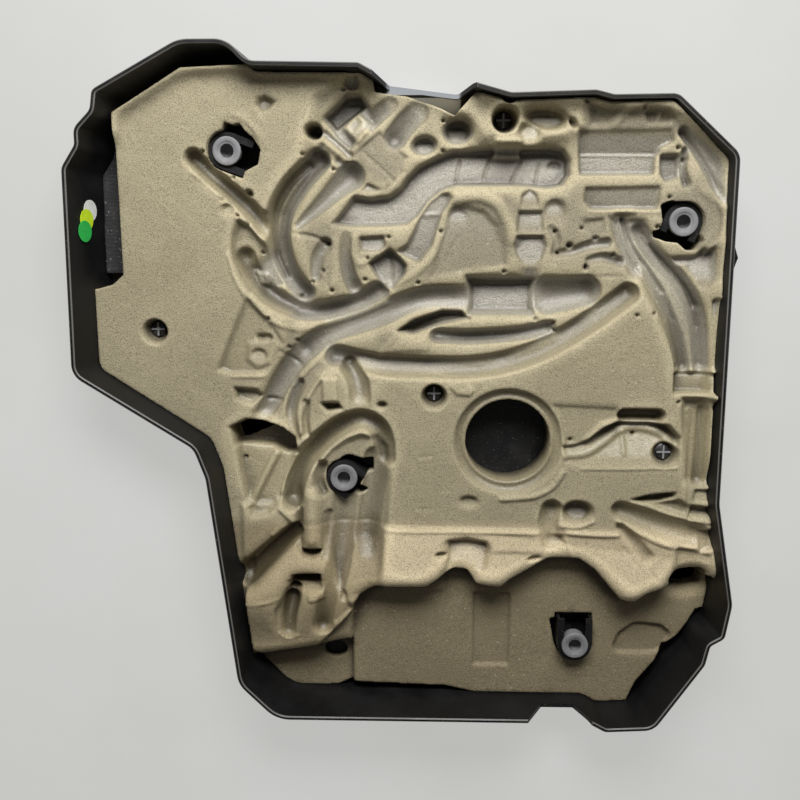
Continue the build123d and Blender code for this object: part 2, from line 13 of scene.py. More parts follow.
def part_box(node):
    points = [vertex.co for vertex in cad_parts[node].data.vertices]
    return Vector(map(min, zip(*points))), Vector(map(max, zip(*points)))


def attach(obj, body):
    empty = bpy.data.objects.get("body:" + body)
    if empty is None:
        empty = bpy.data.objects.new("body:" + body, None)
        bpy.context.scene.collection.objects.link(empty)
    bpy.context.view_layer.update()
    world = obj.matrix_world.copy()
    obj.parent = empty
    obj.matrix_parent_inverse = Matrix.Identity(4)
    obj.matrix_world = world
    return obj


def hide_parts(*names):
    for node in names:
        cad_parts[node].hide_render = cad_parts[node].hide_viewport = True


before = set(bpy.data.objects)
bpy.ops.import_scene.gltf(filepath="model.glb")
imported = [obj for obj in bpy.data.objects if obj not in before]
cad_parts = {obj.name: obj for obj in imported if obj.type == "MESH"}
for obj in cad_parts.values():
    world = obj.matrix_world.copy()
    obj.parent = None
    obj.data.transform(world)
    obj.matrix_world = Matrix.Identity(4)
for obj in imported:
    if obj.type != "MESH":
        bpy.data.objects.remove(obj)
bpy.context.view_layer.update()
FOAM_LOW, FOAM_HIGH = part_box("foam_pad")
MM = 0.001

bl_info = {
    "name": "Engine cover",
    "version": (1, 0, 0),
    "blender": (4, 5, 0),
    "location": "View3D > Sidebar > Cover",
    "description": "Dresses the engine cover: foam relief, moulded plastic, rubber and stage",
    "category": "Object",
}

GROMMET_NAMES = ("top_left", "right", "middle", "bottom")
POST_NAMES = ("top", "left", "centre", "right")
DOT_NAMES = ("white", "yellow", "green")


def paint(red, green, blue):
    """Linear colour from the 0 to 255 values of a colour chart."""
    shares = [value / 255 for value in (red, green, blue)]
    return tuple(s / 12.92 if s < 0.04045 else ((s + 0.055) / 1.055) ** 2.4 for s in shares)


# Relief that the engine's parts press into the foam, in millimetres and finer than the solid's

# Sunk ground that the engine presses over a wide area: depth, width of the wall, greyness and outline
FIELDS = {
    "engine field": (5, 10, 1.0, [
        (-62, 212), (-66, 190), (-72, 165), (-90, 135), (-96, 110), (-112, 95), (-104, 76), (-84, 64),
        (-88, 40), (-102, 15), (-112, -10), (-90, -18), (-66, 20), (-35, 30), (20, 27), (70, 32),
        (120, 55), (150, 78), (165, 95), (185, 60), (196, 24), (226, 24), (228, 118), (226, 174),
        (187, 210), (150, 216), (121, 212), (121, 192), (110, 184), (80, 180), (52, 184), (42, 198),
        (25, 202), (10, 216), (-10, 226), (-36, 226),
    ]),
    "arch yard": (5, 6, 0.3, [
        (-66, -52), (-56, -38), (-45, -30), (-34, -26), (-22, -28), (-15, -36), (-13, -60), (-15, -92),
        (-19, -125), (-24, -146), (-48, -150), (-57, -120), (-59, -95), (-62, -76), (-70, -66),
    ]),
}

# Imprints of hoses and pipes: radius and depth at the start, the same at the end, and the way they run
HOSES = {
    "slant pipe": (6.5, 10, 7, 10, [(-150, 173), (-138, 161), (-124, 149), (-111, 137), (-101, 124)]),
    "bent hose": (9, 12, 9, 13, [
        (-62, 171), (-77, 155), (-88, 138), (-92, 121), (-90, 104), (-84, 89), (-75, 78),
    ]),
    "bent hose step": (5, 14.5, 5, 14, [
        (-70, 168), (-83, 155), (-93, 138), (-96, 121), (-94, 104), (-88, 90),
    ]),
    "cone": (11, 10, 3.5, 4, [(-40, 160), (-50, 151), (-62, 140), (-78, 126)]),
    "sweep": (9, 12, 8, 11, [
        (-116, 104), (-110, 90), (-99, 77), (-85, 69), (-68, 65), (-50, 67), (-34, 72), (-20, 80),
    ]),
    "long hose": (10, 9, 9, 9, [
        (42, 75), (20, 75), (4, 72), (-12, 66), (-28, 60), (-45, 54), (-60, 47), (-73, 38),
    ]),
    "long hose end": (9, 8, 7, 4, [
        (-66, 43), (-73, 38), (-84, 26), (-93, 12), (-101, -3), (-109, -16),
    ]),
    "small elbow": (8, 14, 8, 3, [(-42, 26), (-38, 20), (-35, 12), (-34, 2), (-34, -3)]),
    "pipe end": (15, 12, 12, 11, [(100, 77), (112, 78), (126, 80)]),
    "crescent": (8.5, 9, 8, 10, [
        (-52, 33), (-35, 29), (-15, 26), (10, 25), (40, 25), (65, 28), (88, 35), (110, 46), (130, 59),
        (146, 71), (156, 79),
    ]),
    "small crescent": (6, 10, 6, 8, [(22, 48), (42, 47), (62, 48), (82, 50), (101, 54)]),
    "arch": (9, 14, 8, 8, [
        (-86, -76), (-85, -66), (-80, -52), (-71, -39), (-59, -27), (-46, -18), (-33, -14), (-22, -19),
        (-17, -30), (-16, -42),
    ]),
    "inner bed": (7, 3, 7, 9, [
        (149, 130), (154, 112), (164, 96), (176, 78), (186, 60), (193, 42), (197, 27),
    ]),
    "outer bed": (7, 8, 7, 8, [(162, 122), (174, 105), (190, 90), (201, 72), (207, 52), (210, 27)]),
    "edge slot": (3.5, 6, 3.5, 6, [(217, 73), (218, 50), (219, 27)]),
    "fan": (7, 6, 10, 6, [(157, -79), (172, -84), (190, -91), (211, -97)]),
    "second fan": (4, 3, 5, 3, [(158, -92), (167, -102), (178, -115)]),
    "cup outlet": (8, 7, 7, 3, [(107, -80), (105, -90), (107, -104)]),
    "dark slot": (5.5, 11, 5.5, 11, [(157, -8.5), (180, -8.5)]),
    "cone neck": (9, 2.5, 5, 11, [(87, 97), (87, 89), (88, 79)]),
    "side tongue": (6.5, 9, 6.5, 8, [(213, -4), (213, -30), (212, -54)]),
    "left channel": (6.5, 3, 6.5, 8, [(-12, 207), (-18, 203), (-27, 196)]),
    "right channel": (8.5, 4, 8.5, 9, [(7, 202), (0, 196), (-8, 186)]),
    "fork": (3, 5, 3, 4, [(-57, 189), (-49, 182), (-40, 174)]),
    "second fork": (3, 4, 3, 4, [(-60, 180), (-53, 174), (-47, 169)]),
    "cone edge": (3, 6, 2, 3, [(-60, 164), (-71, 151), (-81, 132)]),
    "bed line": (2.5, 7, 3, 6, [(150, 130), (157, 112), (167, 98), (180, 80)]),
    "bed side line": (3, 9, 4, 10, [(171, 112), (183, 98), (196, 84), (204, 70)]),
    "under pad": (3, 3, 4, 5, [(104, 107), (116, 108), (127, 112), (140, 114)]),
    "pad side": (3, 2.5, 3, 3, [(101, 124), (105, 116), (104, 107)]),
    "corner ridge side": (4, 6, 4, 5, [(188, 188), (200, 172), (210, 156), (218, 142)]),
    "corner outer side": (3.5, 6, 3.5, 5, [(192, 199), (206, 186), (218, 170)]),
    "box rim side": (3, 6, 3, 6, [(190, 176), (189, 164), (192, 154)]),
    "arch leg": (9, 6, 10, 8, [(-23, -44), (-25, -62), (-28, -82), (-31, -104)]),
    "grommet side": (5, 5, 4, 4, [(-64, -50), (-66, -60), (-63, -70)]),
    "shelf slot": (3, 3, 4, 6, [(128, 102), (138, 104), (150, 101)]),
    "field slot": (3.5, 6, 3.5, 6, [(-107, 46), (-100, 46)]),
    "finger dimple": (3.2, 4, 3.2, 4, [(-74, -2), (-75, -15), (-74, -26)]),
    "side valley": (5, 4, 4, 4, [(-80, 12), (-84, 0), (-85, -14), (-82, -28)]),
    "island valley": (5, 4, 5, 4, [(-58, 113), (-64, 103), (-66, 90)]),
    "island groove": (4, 1.5, 6, 8, [(-43, 119), (-44, 104), (-41, 90), (-38, 82)]),
    "block groove": (7, 9, 10, 11, [(-84, -100), (-101, -116), (-120, -135)]),
    "finger left": (3, 5, 3, 5, [(-80, -84), (-81, -98), (-80, -112)]),
    "finger right": (4, 3, 4, 5, [(-59, -88), (-60, -100), (-61, -118)]),
    "pocket groove": (7, 13, 6, 5, [(-85, -147), (-87, -155), (-89, -165), (-90, -177)]),
    "block valley": (11, 5, 8, 10, [
        (-44, -72), (-46, -90), (-48, -110), (-52, -130), (-58, -150), (-63, -172),
    ]),
}

# Imprints with a floor: depth at the middle, width of the wall, more depth to the right and up, and outline
PITS = {
    "dimple": (4, 4, 0, 0.2, [
        (-105, 208), (-103, 213), (-98, 214), (-90, 210), (-95, 204), (-101, 201),
    ]),
    "lens": (7, 4, 0.08, 0, [
        (-121, 131), (-112, 126), (-100, 112), (-94, 95), (-88, 82), (-98, 80), (-113, 77), (-121, 90),
        (-126, 106), (-125, 119),
    ]),
    "plug": (7, 4, 0, 0.05, [(-59, 198), (-42, 216), (-31, 215), (-20, 200), (-40, 177), (-50, 186)]),
    "plug dark": (14, 4, 0, 0.1, [
        (-58, 200), (-43, 214), (-33, 215), (-27, 207), (-38, 199), (-50, 190),
    ]),
    "flat square": (1.5, 2, 0, 0.05, [
        (-38, 175), (-20, 190), (0, 172), (-3, 163), (-15, 150), (-28, 153),
    ]),
    "duct": (10, 3.5, 0, 0.1, [
        (-38, 147), (-25, 145), (-12, 147), (-5, 152), (0, 159), (8, 167), (20, 173), (32, 178),
        (60, 179), (100, 179), (108, 177), (113, 170), (113, 160), (108, 153), (98, 151), (75, 153),
        (35, 153), (25, 150), (15, 142), (8, 132), (0, 126), (-20, 125), (-38, 125), (-53, 127),
    ]),
    "curved strip": (6, 3, 0, 0, [
        (24, 149), (30, 149), (33, 145), (25, 134), (21, 122), (18, 112), (8, 100), (-2, 104),
        (-8, 108), (0, 113), (4, 121), (8, 131), (15, 142),
    ]),
    "triangle": (9, 3, 0, 0.1, [
        (-28, 100), (-20, 105), (-12, 110), (-5, 104), (0, 98), (-1, 92), (-10, 80), (-17, 82),
        (-24, 92),
    ]),
    "box recess": (4, 2, 0, 0.12, [(-34, 118), (-16, 119), (-15, 111), (-20, 107), (-33, 108)]),
    "duct facet": (3, 2.5, 0, 0.3, [(-34, 150), (-28, 156), (-16, 150), (-30, 147)]),
    "leaf": (2.5, 6, 0, 0.02, [
        (22, 124), (27, 138), (40, 141), (55, 137), (65, 126), (70, 112), (72, 97), (60, 94), (40, 92),
        (15, 88), (20, 105),
    ]),
    "dark lens": (14, 3, -0.2, 0.45, [
        (-7, 51), (5, 59), (25, 66), (40, 66), (45, 60), (25, 55), (5, 49),
    ]),
    "collar": (13, 9, 0, 0.16, [(42, 91), (93, 91), (93, 61), (42, 61)]),
    "arch end": (3, 1.5, 0, 0.25, [(79, 138), (80, 147), (86, 152), (91, 147), (93, 138)]),
    "connector box": (3.2, 1.5, 0, 0.12, [(78, 136), (95, 136), (96, 121), (77, 121)]),
    "shield": (4, 1.5, 0, 0.1, [
        (77, 119), (96, 119), (98, 112), (95, 102), (91, 99), (82, 99), (78, 104), (75, 113),
    ]),
    "control box": (5, 2.5, 0, -0.36, [
        (117, 190), (181, 191), (182, 182), (174, 178), (172, 173), (118, 173),
    ]),
    "box front": (6.5, 2.5, 0, 0.02, [(118, 174), (171, 174), (170, 160), (119, 160)]),
    "box foot": (4.5, 2, 0, -0.2, [
        (123, 152), (175, 153), (174, 140), (172, 137), (128, 137), (123, 142),
    ]),
    "small box": (7, 3, 0, 0, [(173, 174), (186, 174), (188, 165), (187, 158), (178, 155), (174, 160)]),
    "top facets": (1.5, 5, -0.06, -0.1, [(123, 207), (148, 207), (152, 203), (140, 193), (125, 192)]),
    "top dent": (2, 3, -0.05, -0.05, [
        (160, 202), (165, 204), (180, 203), (186, 198), (181, 195), (172, 193), (163, 194),
    ]),
    "outer slope": (4, 8, 0.05, 0.05, [
        (187, 204), (222, 170), (224, 118), (216, 118), (213, 148), (205, 163), (192, 184), (180, 200),
    ]),
    "hose bed": (4, 6, 0, 0, [
        (139, 133), (166, 131), (173, 116), (184, 104), (196, 92), (206, 75), (213, 55), (216, 25),
        (192, 25), (187, 38), (180, 52), (173, 66), (163, 82), (152, 98), (144, 115),
    ]),
    "lit triangle": (4, 5, 0, 0.18, [(192, 99), (214, 112), (219, 88), (206, 80)]),
    "under ring": (6, 4, 0, 0.2, [
        (183, 105), (200, 106), (207, 111), (210, 104), (200, 98), (188, 98),
    ]),
    "right box": (9, 3, 0, 0.1, [(190, 24), (226, 24), (226, 8), (190, 8)]),
    "side channel": (5, 8, 0, 0.04, [(196, 6), (225, 6), (225, -56), (214, -63), (200, -56)]),
    "shelf": (7, 4, 0, 0.36, [
        (113, -31), (122, -30), (132, -26), (142, -18), (152, -13), (175, -13), (188, -15), (197, -24),
        (198, -48), (128, -49), (116, -44),
    ]),
    "shelf step": (2.5, 4, 0, -0.05, [
        (103, 0), (152, -2), (152, -12), (140, -15), (128, -30), (115, -32), (111, -12),
    ]),
    "thin slot": (9, 3, 0, 0, [(164, -71), (178, -67), (196, -65), (195, -69), (185, -73), (172, -73)]),
    "fan side": (4, 4, 0, 0.1, [
        (176, -73), (200, -70), (207, -76), (206, -84), (196, -82), (184, -78),
    ]),
    "side facet": (6, 3, 0, 0.1, [(207, -74), (224, -76), (224, -83), (206, -83)]),
    "side floor": (3, 3, 0, 0.25, [(209, -62), (224, -62), (224, -72), (208, -72)]),
    "side patch": (6, 3, 0, 0.1, [(213, -93), (226, -93), (226, -108), (216, -113)]),
    "lower corner": (4, 5, 0, 0, [(198, -104), (226, -112), (226, -133), (200, -136)]),
    "corner gap": (16, 4, 0, 0, [
        (196, -140), (204, -136), (218, -133), (226, -134), (224, -143), (210, -147), (199, -145),
    ]),
    "fold": (3, 4, -0.05, 0, [
        (-115, 77), (-125, 55), (-139, 22), (-128, 18), (-102, 20), (-95, 30), (-88, 42), (-99, 58),
    ]),
    "dark cavity": (20, 4, 0, 0.1, [
        (-131, -21), (-119, -15), (-105, -17), (-92, -21), (-83, -29), (-81, -42), (-90, -43),
        (-101, -38), (-115, -37), (-128, -36),
    ]),
    "low field": (8, 5, 0, 0.1, [
        (-128, -30), (-110, -26), (-90, -30), (-82, -40), (-86, -54), (-91, -66), (-94, -80),
        (-104, -88), (-117, -90), (-121, -76), (-125, -55),
    ]),
    "under box": (8, 3, 0, 0.1, [(-63, -2), (-50, -2), (-47, -6), (-58, -8)]),
    "fold pocket": (5, 3, 0, 0.2, [(-127, 9), (-110, 8), (-106, 3), (-114, -4), (-126, 0)]),
    "tan patch": (2, 4, 0, 0.1, [(122, 130), (138, 132), (140, 119), (130, 116), (123, 122)]),
    "finger gap": (11, 3, 0, 0.2, [(-80, -113), (-63, -113), (-65, -118), (-71, -120), (-78, -118)]),
    "block slot": (15, 3, 0, 0, [(-86, -132), (-64, -131), (-64, -137), (-68, -139), (-86, -139)]),
    "block top right": (5, 4, 0.12, 0, [
        (-60, -140), (-46, -142), (-40, -158), (-52, -170), (-64, -172), (-62, -152),
    ]),
    "block facet": (3, 12, 0, 0.3, [(-37, -106), (-20, -104), (-18, -134), (-36, -136), (-41, -122)]),
    "tooth hollow": (5, 5, 0, 0.1, [
        (30, -104), (45, -102), (60, -105), (63, -110), (60, -125), (52, -137), (34, -127), (26, -131),
        (30, -118),
    ]),
    "outlet facet": (4, 3, 0, 0.2, [(102, -99), (116, -99), (119, -107), (105, -108)]),
}

# Round imprints: x, y, half length, half width, turn in degrees, depth (less than nothing is a bump)
CUPS = [
    (-65, 190, 6.5, 6, 0, 16), (-38, 222, 6, 6, 0, 4), (35, 189, 12, 11, 0, 11), (12, 180, 11, 8, 0, 8),
    (95, 197, 18, 9, -8, 8), (84, 188, 10, 9, 0, 5), (113, 194, 5, 2.5, -55, 6),
    (36, 131, 10.5, 10, 0, 3.5), (103, 135, 9.5, 10.5, 0, 3), (103, 164, 9, 9, 0, 11),
    (-127, 137, 6, 5, 0, 3), (-111, 148, 3.5, 2.5, -45, 6), (-102, 134, 3, 3, 0, 7),
    (-108, 32, 9, 8, 0, 4), (-18, -3, 4, 3, 0, 5), (126, -82, 13, 10, 0, 8), (46, -75, 8, 5, 0, 3),
    (26, -115, 5, 2.5, 0, 5), (95, -117, 6, 2.5, 10, 4), (114, 112, 2.5, 2.5, 0, 6),
    (132, 117, 3, 2, 0, 5), (126, 97, 1.8, 3, 0, 6), (-58, -67, 6, 5, 0, -4), (-45, -77, 6, 5, 0, -4),
]

# Raised lines: half width, height and the way they run
CRESTS = [
    (2.5, 1.2, [(-150, 162), (-139, 155), (-130, 146)]),
    (2.5, 1.5, [
        (-127, 105), (-123, 90), (-116, 77), (-105, 65), (-92, 56), (-76, 52), (-60, 55), (-40, 61),
        (-15, 71),
    ]),
    (2, 2.5, [(-62, 33), (-75, 20), (-85, 8), (-91, -8), (-93, -22)]),
    (2.5, 2.0, [(-98, -78), (-84, -93)]),
    (1.5, 2.0, [(127, 135.5), (175, 135.5)]),
    (5.0, 3.5, [(34, 145), (50, 147), (63, 141), (71, 129), (75, 116)]),
    (4.0, 1.5, [(-51, 115), (-50, 100), (-52, 86)]),
    (2.5, 2.0, [(-37, 118), (-38, 106), (-33, 99), (-26, 103)]),
    (1.5, 2.5, [(-60, 21), (-70, 6), (-77, -10), (-78, -25)]),
    (2.0, 1.5, [(-128, 18), (-106, 18)]),
    (3, 1.5, [(160, 112), (170, 98), (181, 84), (191, 66), (199, 48), (203, 28)]),
    (3.5, 2.0, [(141, 194), (150, 203), (160, 210)]),
    (2, 1.5, [(172, 205), (170, 195)]),
    (3, 1.5, [(185, 183), (200, 168), (211, 150), (217, 138)]),
    (4, 1.5, [(204, 150), (212, 140), (214, 126), (208, 113)]),
    (3.5, 4.5, [(-98, -42), (-107, -59), (-117, -79)]),
    (6.5, 6.5, [(-70, -74), (-71, -90), (-71, -105)]),
    (1.5, 2.0, [(-97, -180), (-90, -184), (-83, -181)]),
    (1.2, 2.0, [(-94, -72), (-91, -60), (-86, -50), (-79, -40), (-70, -29)]),
    (1.5, 1.5, [(-122, -156), (-108, -153), (-96, -150)]),
    (2.5, 2.0, [(114, -92), (126, -92), (136, -88)]),
    (2.0, 2.5, [(156, -87), (167, -94), (180, -101), (195, -106), (211, -107)]),
    (4.0, 3.0, [(117, -38), (131, -36), (144, -28), (157, -19), (172, -18), (185, -22), (193, -31)]),
    (1.2, 1.5, [(128, -48), (160, -47.5), (195, -46)]),
    (2.5, 2.0, [(70, -72), (82, -71), (95, -69), (107, -62), (114, -51)]),
    (2.5, 1.5, [(202, -4), (202, -40), (201, -72)]),
    (1.2, 1.5, [(207, -86), (224, -87)]),
    (2.0, 3.0, [(-16, -97), (40, -97), (98, -97)]),
    (2.0, 3.0, [(119, -97), (138, -98), (156, -98)]),
    (1.5, 1.2, [(12, 133), (24, 134)]),
    (3.0, 2.5, [(33, 147), (28, 135), (24, 120), (17, 104), (3, 91), (-14, 83)]),
    (2, 1.5, [(157, -22), (158, -37)]),
    (2, 2.0, [(163, -90), (171, -96), (180, -99), (195, -105)]),
    (1.5, 1.5, [(117, -103), (122, -113), (127, -123)]),
    (2.5, 1.5, [(-20, 33), (-8, 47), (0, 52)]),
    (2, 1.2, [(14, 48), (15, 40), (12, 33)]),
]

# Pressed lines: half width, depth and the way they run
CREASES = [
    (1.0, 1.6, [(37, 171), (34, 155)]),
    (1.0, 1.6, [(58, 171), (54, 158)]),
    (1.5, 1.5, [(0, 172), (-20, 190)]),
    (1.5, 1.5, [(-3, 163), (-15, 150)]),
    (1.2, 1.0, [(-30, 176), (-8, 156)]),
    (1.0, 1.6, [(80, 170), (73, 155)]),
    (1.0, 1.4, [(93, 168), (90, 155)]),
    (1.5, 2.2, [(-81, 121), (-66, 118), (-56, 113)]),
    (1.2, 1.5, [(-11, 103), (-11, 84)]),
    (1.0, 1.4, [(146, 128), (152, 110), (162, 94), (173, 77), (183, 60)]),
    (1.0, 1.2, [(153, 128), (159, 112), (168, 99), (181, 80), (190, 60)]),
    (1.0, 1.4, [(166, 121), (176, 107), (190, 93), (201, 76), (207, 55)]),
    (1.2, 0.8, [(36, 118), (27, 100)]),
    (1.2, 2.0, [(-104, 0), (-92, -1)]),
    (1.2, 1.6, [(-92, 36), (-76, 24)]),
    (1.2, 1.0, [(21, -122), (26, -130)]),
    (1.2, 0.8, [(160, -108), (170, -120)]),
    (1.2, 0.8, [(175, -118), (187, -133)]),
    (1.2, 1.2, [(118, 173), (170, 174)]),
    (1.2, 1.0, [(128, 91), (152, 91)]),
    (0.9, 0.6, [
        (8, -43), (8, -79), (10, -81), (18, -81), (20, -79), (20, -43), (18, -41), (10, -41), (8, -43),
    ]),
]

# Raised blocks inside pits: height, width of the wall and outline
RISES = {
    "plug block": (6, 2.5, [(-45, 193), (-34, 203), (-23, 194), (-34, 182)]),
    "plug block hollow": (-3, 2, [(-41, 194), (-35, 200), (-32, 196), (-38, 190)]),
    "block plateau": (3, 5, [(-124, -80), (-86, -80), (-83, -94), (-118, -124), (-124, -124)]),
    "block knob": (4, 3, [(-75, -142), (-62, -142), (-62, -150), (-73, -151)]),
    "lit patch": (2, 3, [(31, 12), (36, 17), (43, 17), (49, 9), (46, 5), (36, 6)]),
    "hanging block": (6, 2.5, [(61, 184), (79, 184), (79, 172), (60, 172)]),
    "upright box": (3, 2.5, [(-62, 17), (-51, 17), (-50, 0), (-61, -1)]),
    "pad": (2, 4, [(-116, 42), (-106, 44), (-98, 52), (-92, 40), (-99, 27), (-110, 23), (-117, 30)]),
    "wedge": (2.5, 3, [(-14, 36), (-2, 49), (14, 48), (15, 37)]),
    "fork lump": (3, 4, [(-60, 177), (-53, 183), (-45, 176), (-53, 169)]),
    "foot tab": (4, 2, [(144, 138), (158, 138), (158, 134), (144, 134)]),
    "lens lump": (4, 3, [(-111, 94), (-101, 91), (-101, 83), (-107, 84)]),
    "lip step": (2, 4, [
        (-18, -97), (101, -97), (101, -112), (60, -112), (60, -106), (28, -106), (28, -150),
        (-18, -150),
    ]),
}

# The plain land, the edge of the lip and what keeps the solid's own form
LAND_HEIGHT = 33.0
LAND_RISE_X = 0.04
LAND_RISE_Y = 0.02
LIP_Y = -95.0
LIP_START = -97.0
LIP_RISE = 0.30
LIP_RIGHT = 197.0
LOW_FOAM = 24.0
FILLER = (74.0, -29.0)
WELL_FLOOR = 6.4
WELL_EDGE = 9.8
WELL_LEAN = 1.6
WELL_ROOM = 0.3
TOWER_REACH = 26.0
TOWER_FADE = 4.0

# The block at the lower left: where it lies and how it climbs away from the land
BLOCK_RIGHT = -17.0
BLOCK_RISE = 17.0
BLOCK_RAMP_TOP = -86.0
BLOCK_RAMP_END = -148.0
BLOCK_FALL = 9.0
BLOCK_EDGE = -151.0
BLOCK_FRONT = -190.0

# Shape of the imprints
HOSE_ROUNDNESS = 0.6
PATH_STEPS = 6
PRESS_SHARE = 1.25
PRESSED_FROM = 0.5
PRESSED_FULL = 5.0
EDGE_ROUND = 1.3
EDGE_SINK = 0.25
EDGE_SLOPE = 1.0
EDGE_REACH = 4.0
PIT_LEAST_DEPTH = 0.5
PIT_WALL_OUT = 0.3
PIT_WALL_IN = 0.7
CUP_LEAN = 0.8
CUP_FLOOR = 0.5
CUP_EDGE = 1.05
LINE_TOP = 0.2
LINE_FOOT = 1.3
PINHOLE_RADIUS = 1.7
PINHOLE_FLOOR = 0.4 * PINHOLE_RADIUS
PINHOLE_EDGE = 1.2 * PINHOLE_RADIUS
PINHOLE_DEPTH = 3.5

# Thick lobes: how far round an edge is judged, and how much of what stands proud is rolled over
PILLOW_REACH = 5.0
PILLOW_PROUD = 0.8
PILLOW_SHARE = 0.55
PILLOW_START = -88.0
PILLOW_FADE = 12.0

# The sunk ring round the filler opening and the fine line along it
RING_RADIUS = 40.0
RING_WALL = 3.0
RING_DEPTH = 4.0
RING_REACH = 60.0
RING_LINE = 34.5
RING_LINE_DEPTH = 0.8
RING_LINE_SIDES = (0.5, 1.5)

# Rise of the foam where it runs up the wall at the upper right and along the top
RUN_UP = 9.0
RUN_UP_REACH = 6.0
RUN_UP_SHARES = (0.5, 0.98)
RUN_UP_LEFT = 118.0
RUN_UP_LEFT_FADE = 15.0
RUN_UP_LOW = -62.0
RUN_UP_LOW_FADE = 30.0
RUN_UP_OPENING = 60.0
RUN_UP_LIMIT = 49.0
TOP_RUN_UP = 6.0
TOP_REACH = 6.0
TOP_LOW = 178.0
TOP_FADE = 15.0
NOTCH_MIDDLE = 14.0
NOTCH_HALF = 32.0
NOTCH_FADE = 6.0

# Unevenness of the flats: height, then length, bend and length of the bend, along x and along y
WAVES = [
    (0.30, 17, 1.7, 23, 19, 1.3, 29),
    (0.10, 5.3, 2.1, 7.1, 6.1, 1.9, 8.3),
]

# The foam's mesh: grid cells to a face, the outline's crossings, the rings down its side and its back
MESH_STEP = 2
CROSSING_TRIES = 9
CROSSING_ROOM = 0.1
SIDE_RINGS = (0.06, 0.3, 0.65, 1.0)
JOIN_DISTANCE = 1e-7
LEAST_SHARE = 1e-6
RAY_ABOVE = 0.2
RAY_BELOW = -1.0
WALL_START = 0.5 * MM
WALL_ROOM = 8.0 * MM
WALL_SPREAD = 9.0 * MM

# Masks for the foam's colour with its painted shade and highlight: reach and depth of what counts as sunk,
# and blurs in cells
MASK_REACH = 7.0
MASK_DEPTH = 5.0
PRESSED_BLUR = 1.5
FIELD_BLUR = 3.0

# Where finishes, painted light and painted shade change, in metres: from none to full
LOWER_FOAM_Y = (-0.086, -0.100)
# Painted shadow on the low foam under the lip fades in between these heights
LOW_SHADE_Z = (0.030, 0.026)
LOBE_Z = (0.026, 0.030)
BLOCK_X = (-0.014, -0.020)
LIP_X = (-0.020, -0.014)
RIM_OVER = (0.0511, 0.0513)
RIM_UNDER = (0.05198, 0.05180)
FACET_LEFT = (-0.015, -0.013)
FACET_RIGHT = (0.038, 0.036)
FACET_FRONT = (0.190, 0.192)
FACET_CHANGE = (0.0268, 0.0270)
FACET_LINE_OVER = (0.0255, 0.0258)
FACET_LINE_UNDER = (0.0278, 0.0275)
POST_TIP_AWAY = (0.006, 0.0055)
POST_TIP_RISE = 0.0002

# Tints that multiply the colour under them, some of them painted light and shade, and colours of dust
# Painted shadow that darkens the low foam under the lip
LOW_SHADE_TINT = (0.66, 0.62, 0.56)
BLOCK_TINT = (0.84, 0.79, 0.72)
# The lip's own pinker tone, with painted light that makes its lobes paler
LIP_TONE_AND_LIGHT_TINT = (1.52, 1.47, 1.48)
# Darker tone of the land inside the sunk ground
FIELD_LAND_TINT = (0.78, 0.77, 0.76)
# Painted shade that darkens the foam in its hollows
HOLLOW_SHADE_TINT = (0.40, 0.39, 0.37)
BLOTCH_TINT = (0.80, 0.79, 0.76)
PITTED_TINT = (0.50, 0.49, 0.46)
RUBBER_TINT = (0.72, 0.72, 0.72)
STRIP_TINT = (0.6, 0.6, 0.6)
DOT_TINT = (0.86, 0.86, 0.84)
FLOOR_TINT = (0.95, 0.945, 0.93)
PLASTIC_LIFT = (0.003, 0.003, 0.0033)
FOAM_DUST = paint(206, 198, 176)
RUBBER_DUST = paint(160, 154, 142)
STRIP_DUST = paint(150, 146, 140)

# The stage, in metres, and the grommets' lathe
FLOOR_SIZE = 4.0
FLOOR_CELLS = 8
FLOOR_HEIGHT = -0.0005
FLOOR_GLOW = 0.92
FLOOR_PLAIN_SHARE = 0.8
LAMP_SIZE = (0.70, 0.40)
LAMP_PLACE = (0.05, 0.74, 0.68)
LAMP_AIM = (0.0, 0.0, 0.02)
SKY_COLOUR = (1.0, 0.99, 0.97, 1.0)
SENSOR_WIDTH = 36.0
SHARP_ANGLE = math.radians(40)

# Pinholes left by the mould's vents
PINHOLES = [
    (-143, 177), (-122, 159), (-130, 144), (-120, 133), (-113, 127), (-104, 107), (-73, 175),
    (-52, 165), (-100, 60), (-86, 39), (-80, 44), (-60, 94), (-68, 86), (-54, 80), (-78, 75), (-30, 88),
    (-28, 103), (8, 86), (69, 94), (45, 60), (92, 60), (105, 58), (106, 52), (24, 122), (25, 177),
    (25, 197), (119, -27), (-13, 118), (-44, 218), (-35, 226), (121, 208), (160, 204), (189, 201),
    (185, 178), (190, 170), (181, 145), (174, 125), (122, 124), (145, 106), (104, 122), (106, 107),
    (194, 2), (191, 27), (165, -23), (166, -5), (207, -84), (224, -87), (-122, -46), (194, 127),
    (162, 64), (174, 65), (-56, 113),
]


def colour_setting(name, description, *chart):
    """Setting for a colour, with its default from the values of a colour chart."""
    return FloatVectorProperty(name=name, description=description, subtype="COLOR", default=paint(*chart))


class CoverFoamSettings(bpy.types.PropertyGroup):
    """Shape and finish of the moulded foam pad."""

    cell: FloatProperty(
        name="Cell", description="Spacing of the foam's surface points", default=1.1 * MM, unit="LENGTH",
    )
    triangles: IntProperty(name="Triangles", description="How many triangles the foam keeps", default=190000)
    softness: FloatProperty(
        name="Softness", description="How far edges are rounded over", default=0.5 * MM, unit="LENGTH",
    )
    edge_drop: FloatProperty(
        name="Edge drop", description="How far the cut edges roll down", default=0.9 * MM, unit="LENGTH",
    )
    land: colour_setting("Land", "Colour of the raised plain foam", 158, 148, 120)
    hollow: colour_setting("Hollow", "Colour of pressed floors", 152, 147, 134)
    # Colour of the painted highlight on raised lines and edges
    crest_highlight: colour_setting("Crest", "Colour of rubbed crests", 178, 167, 136)


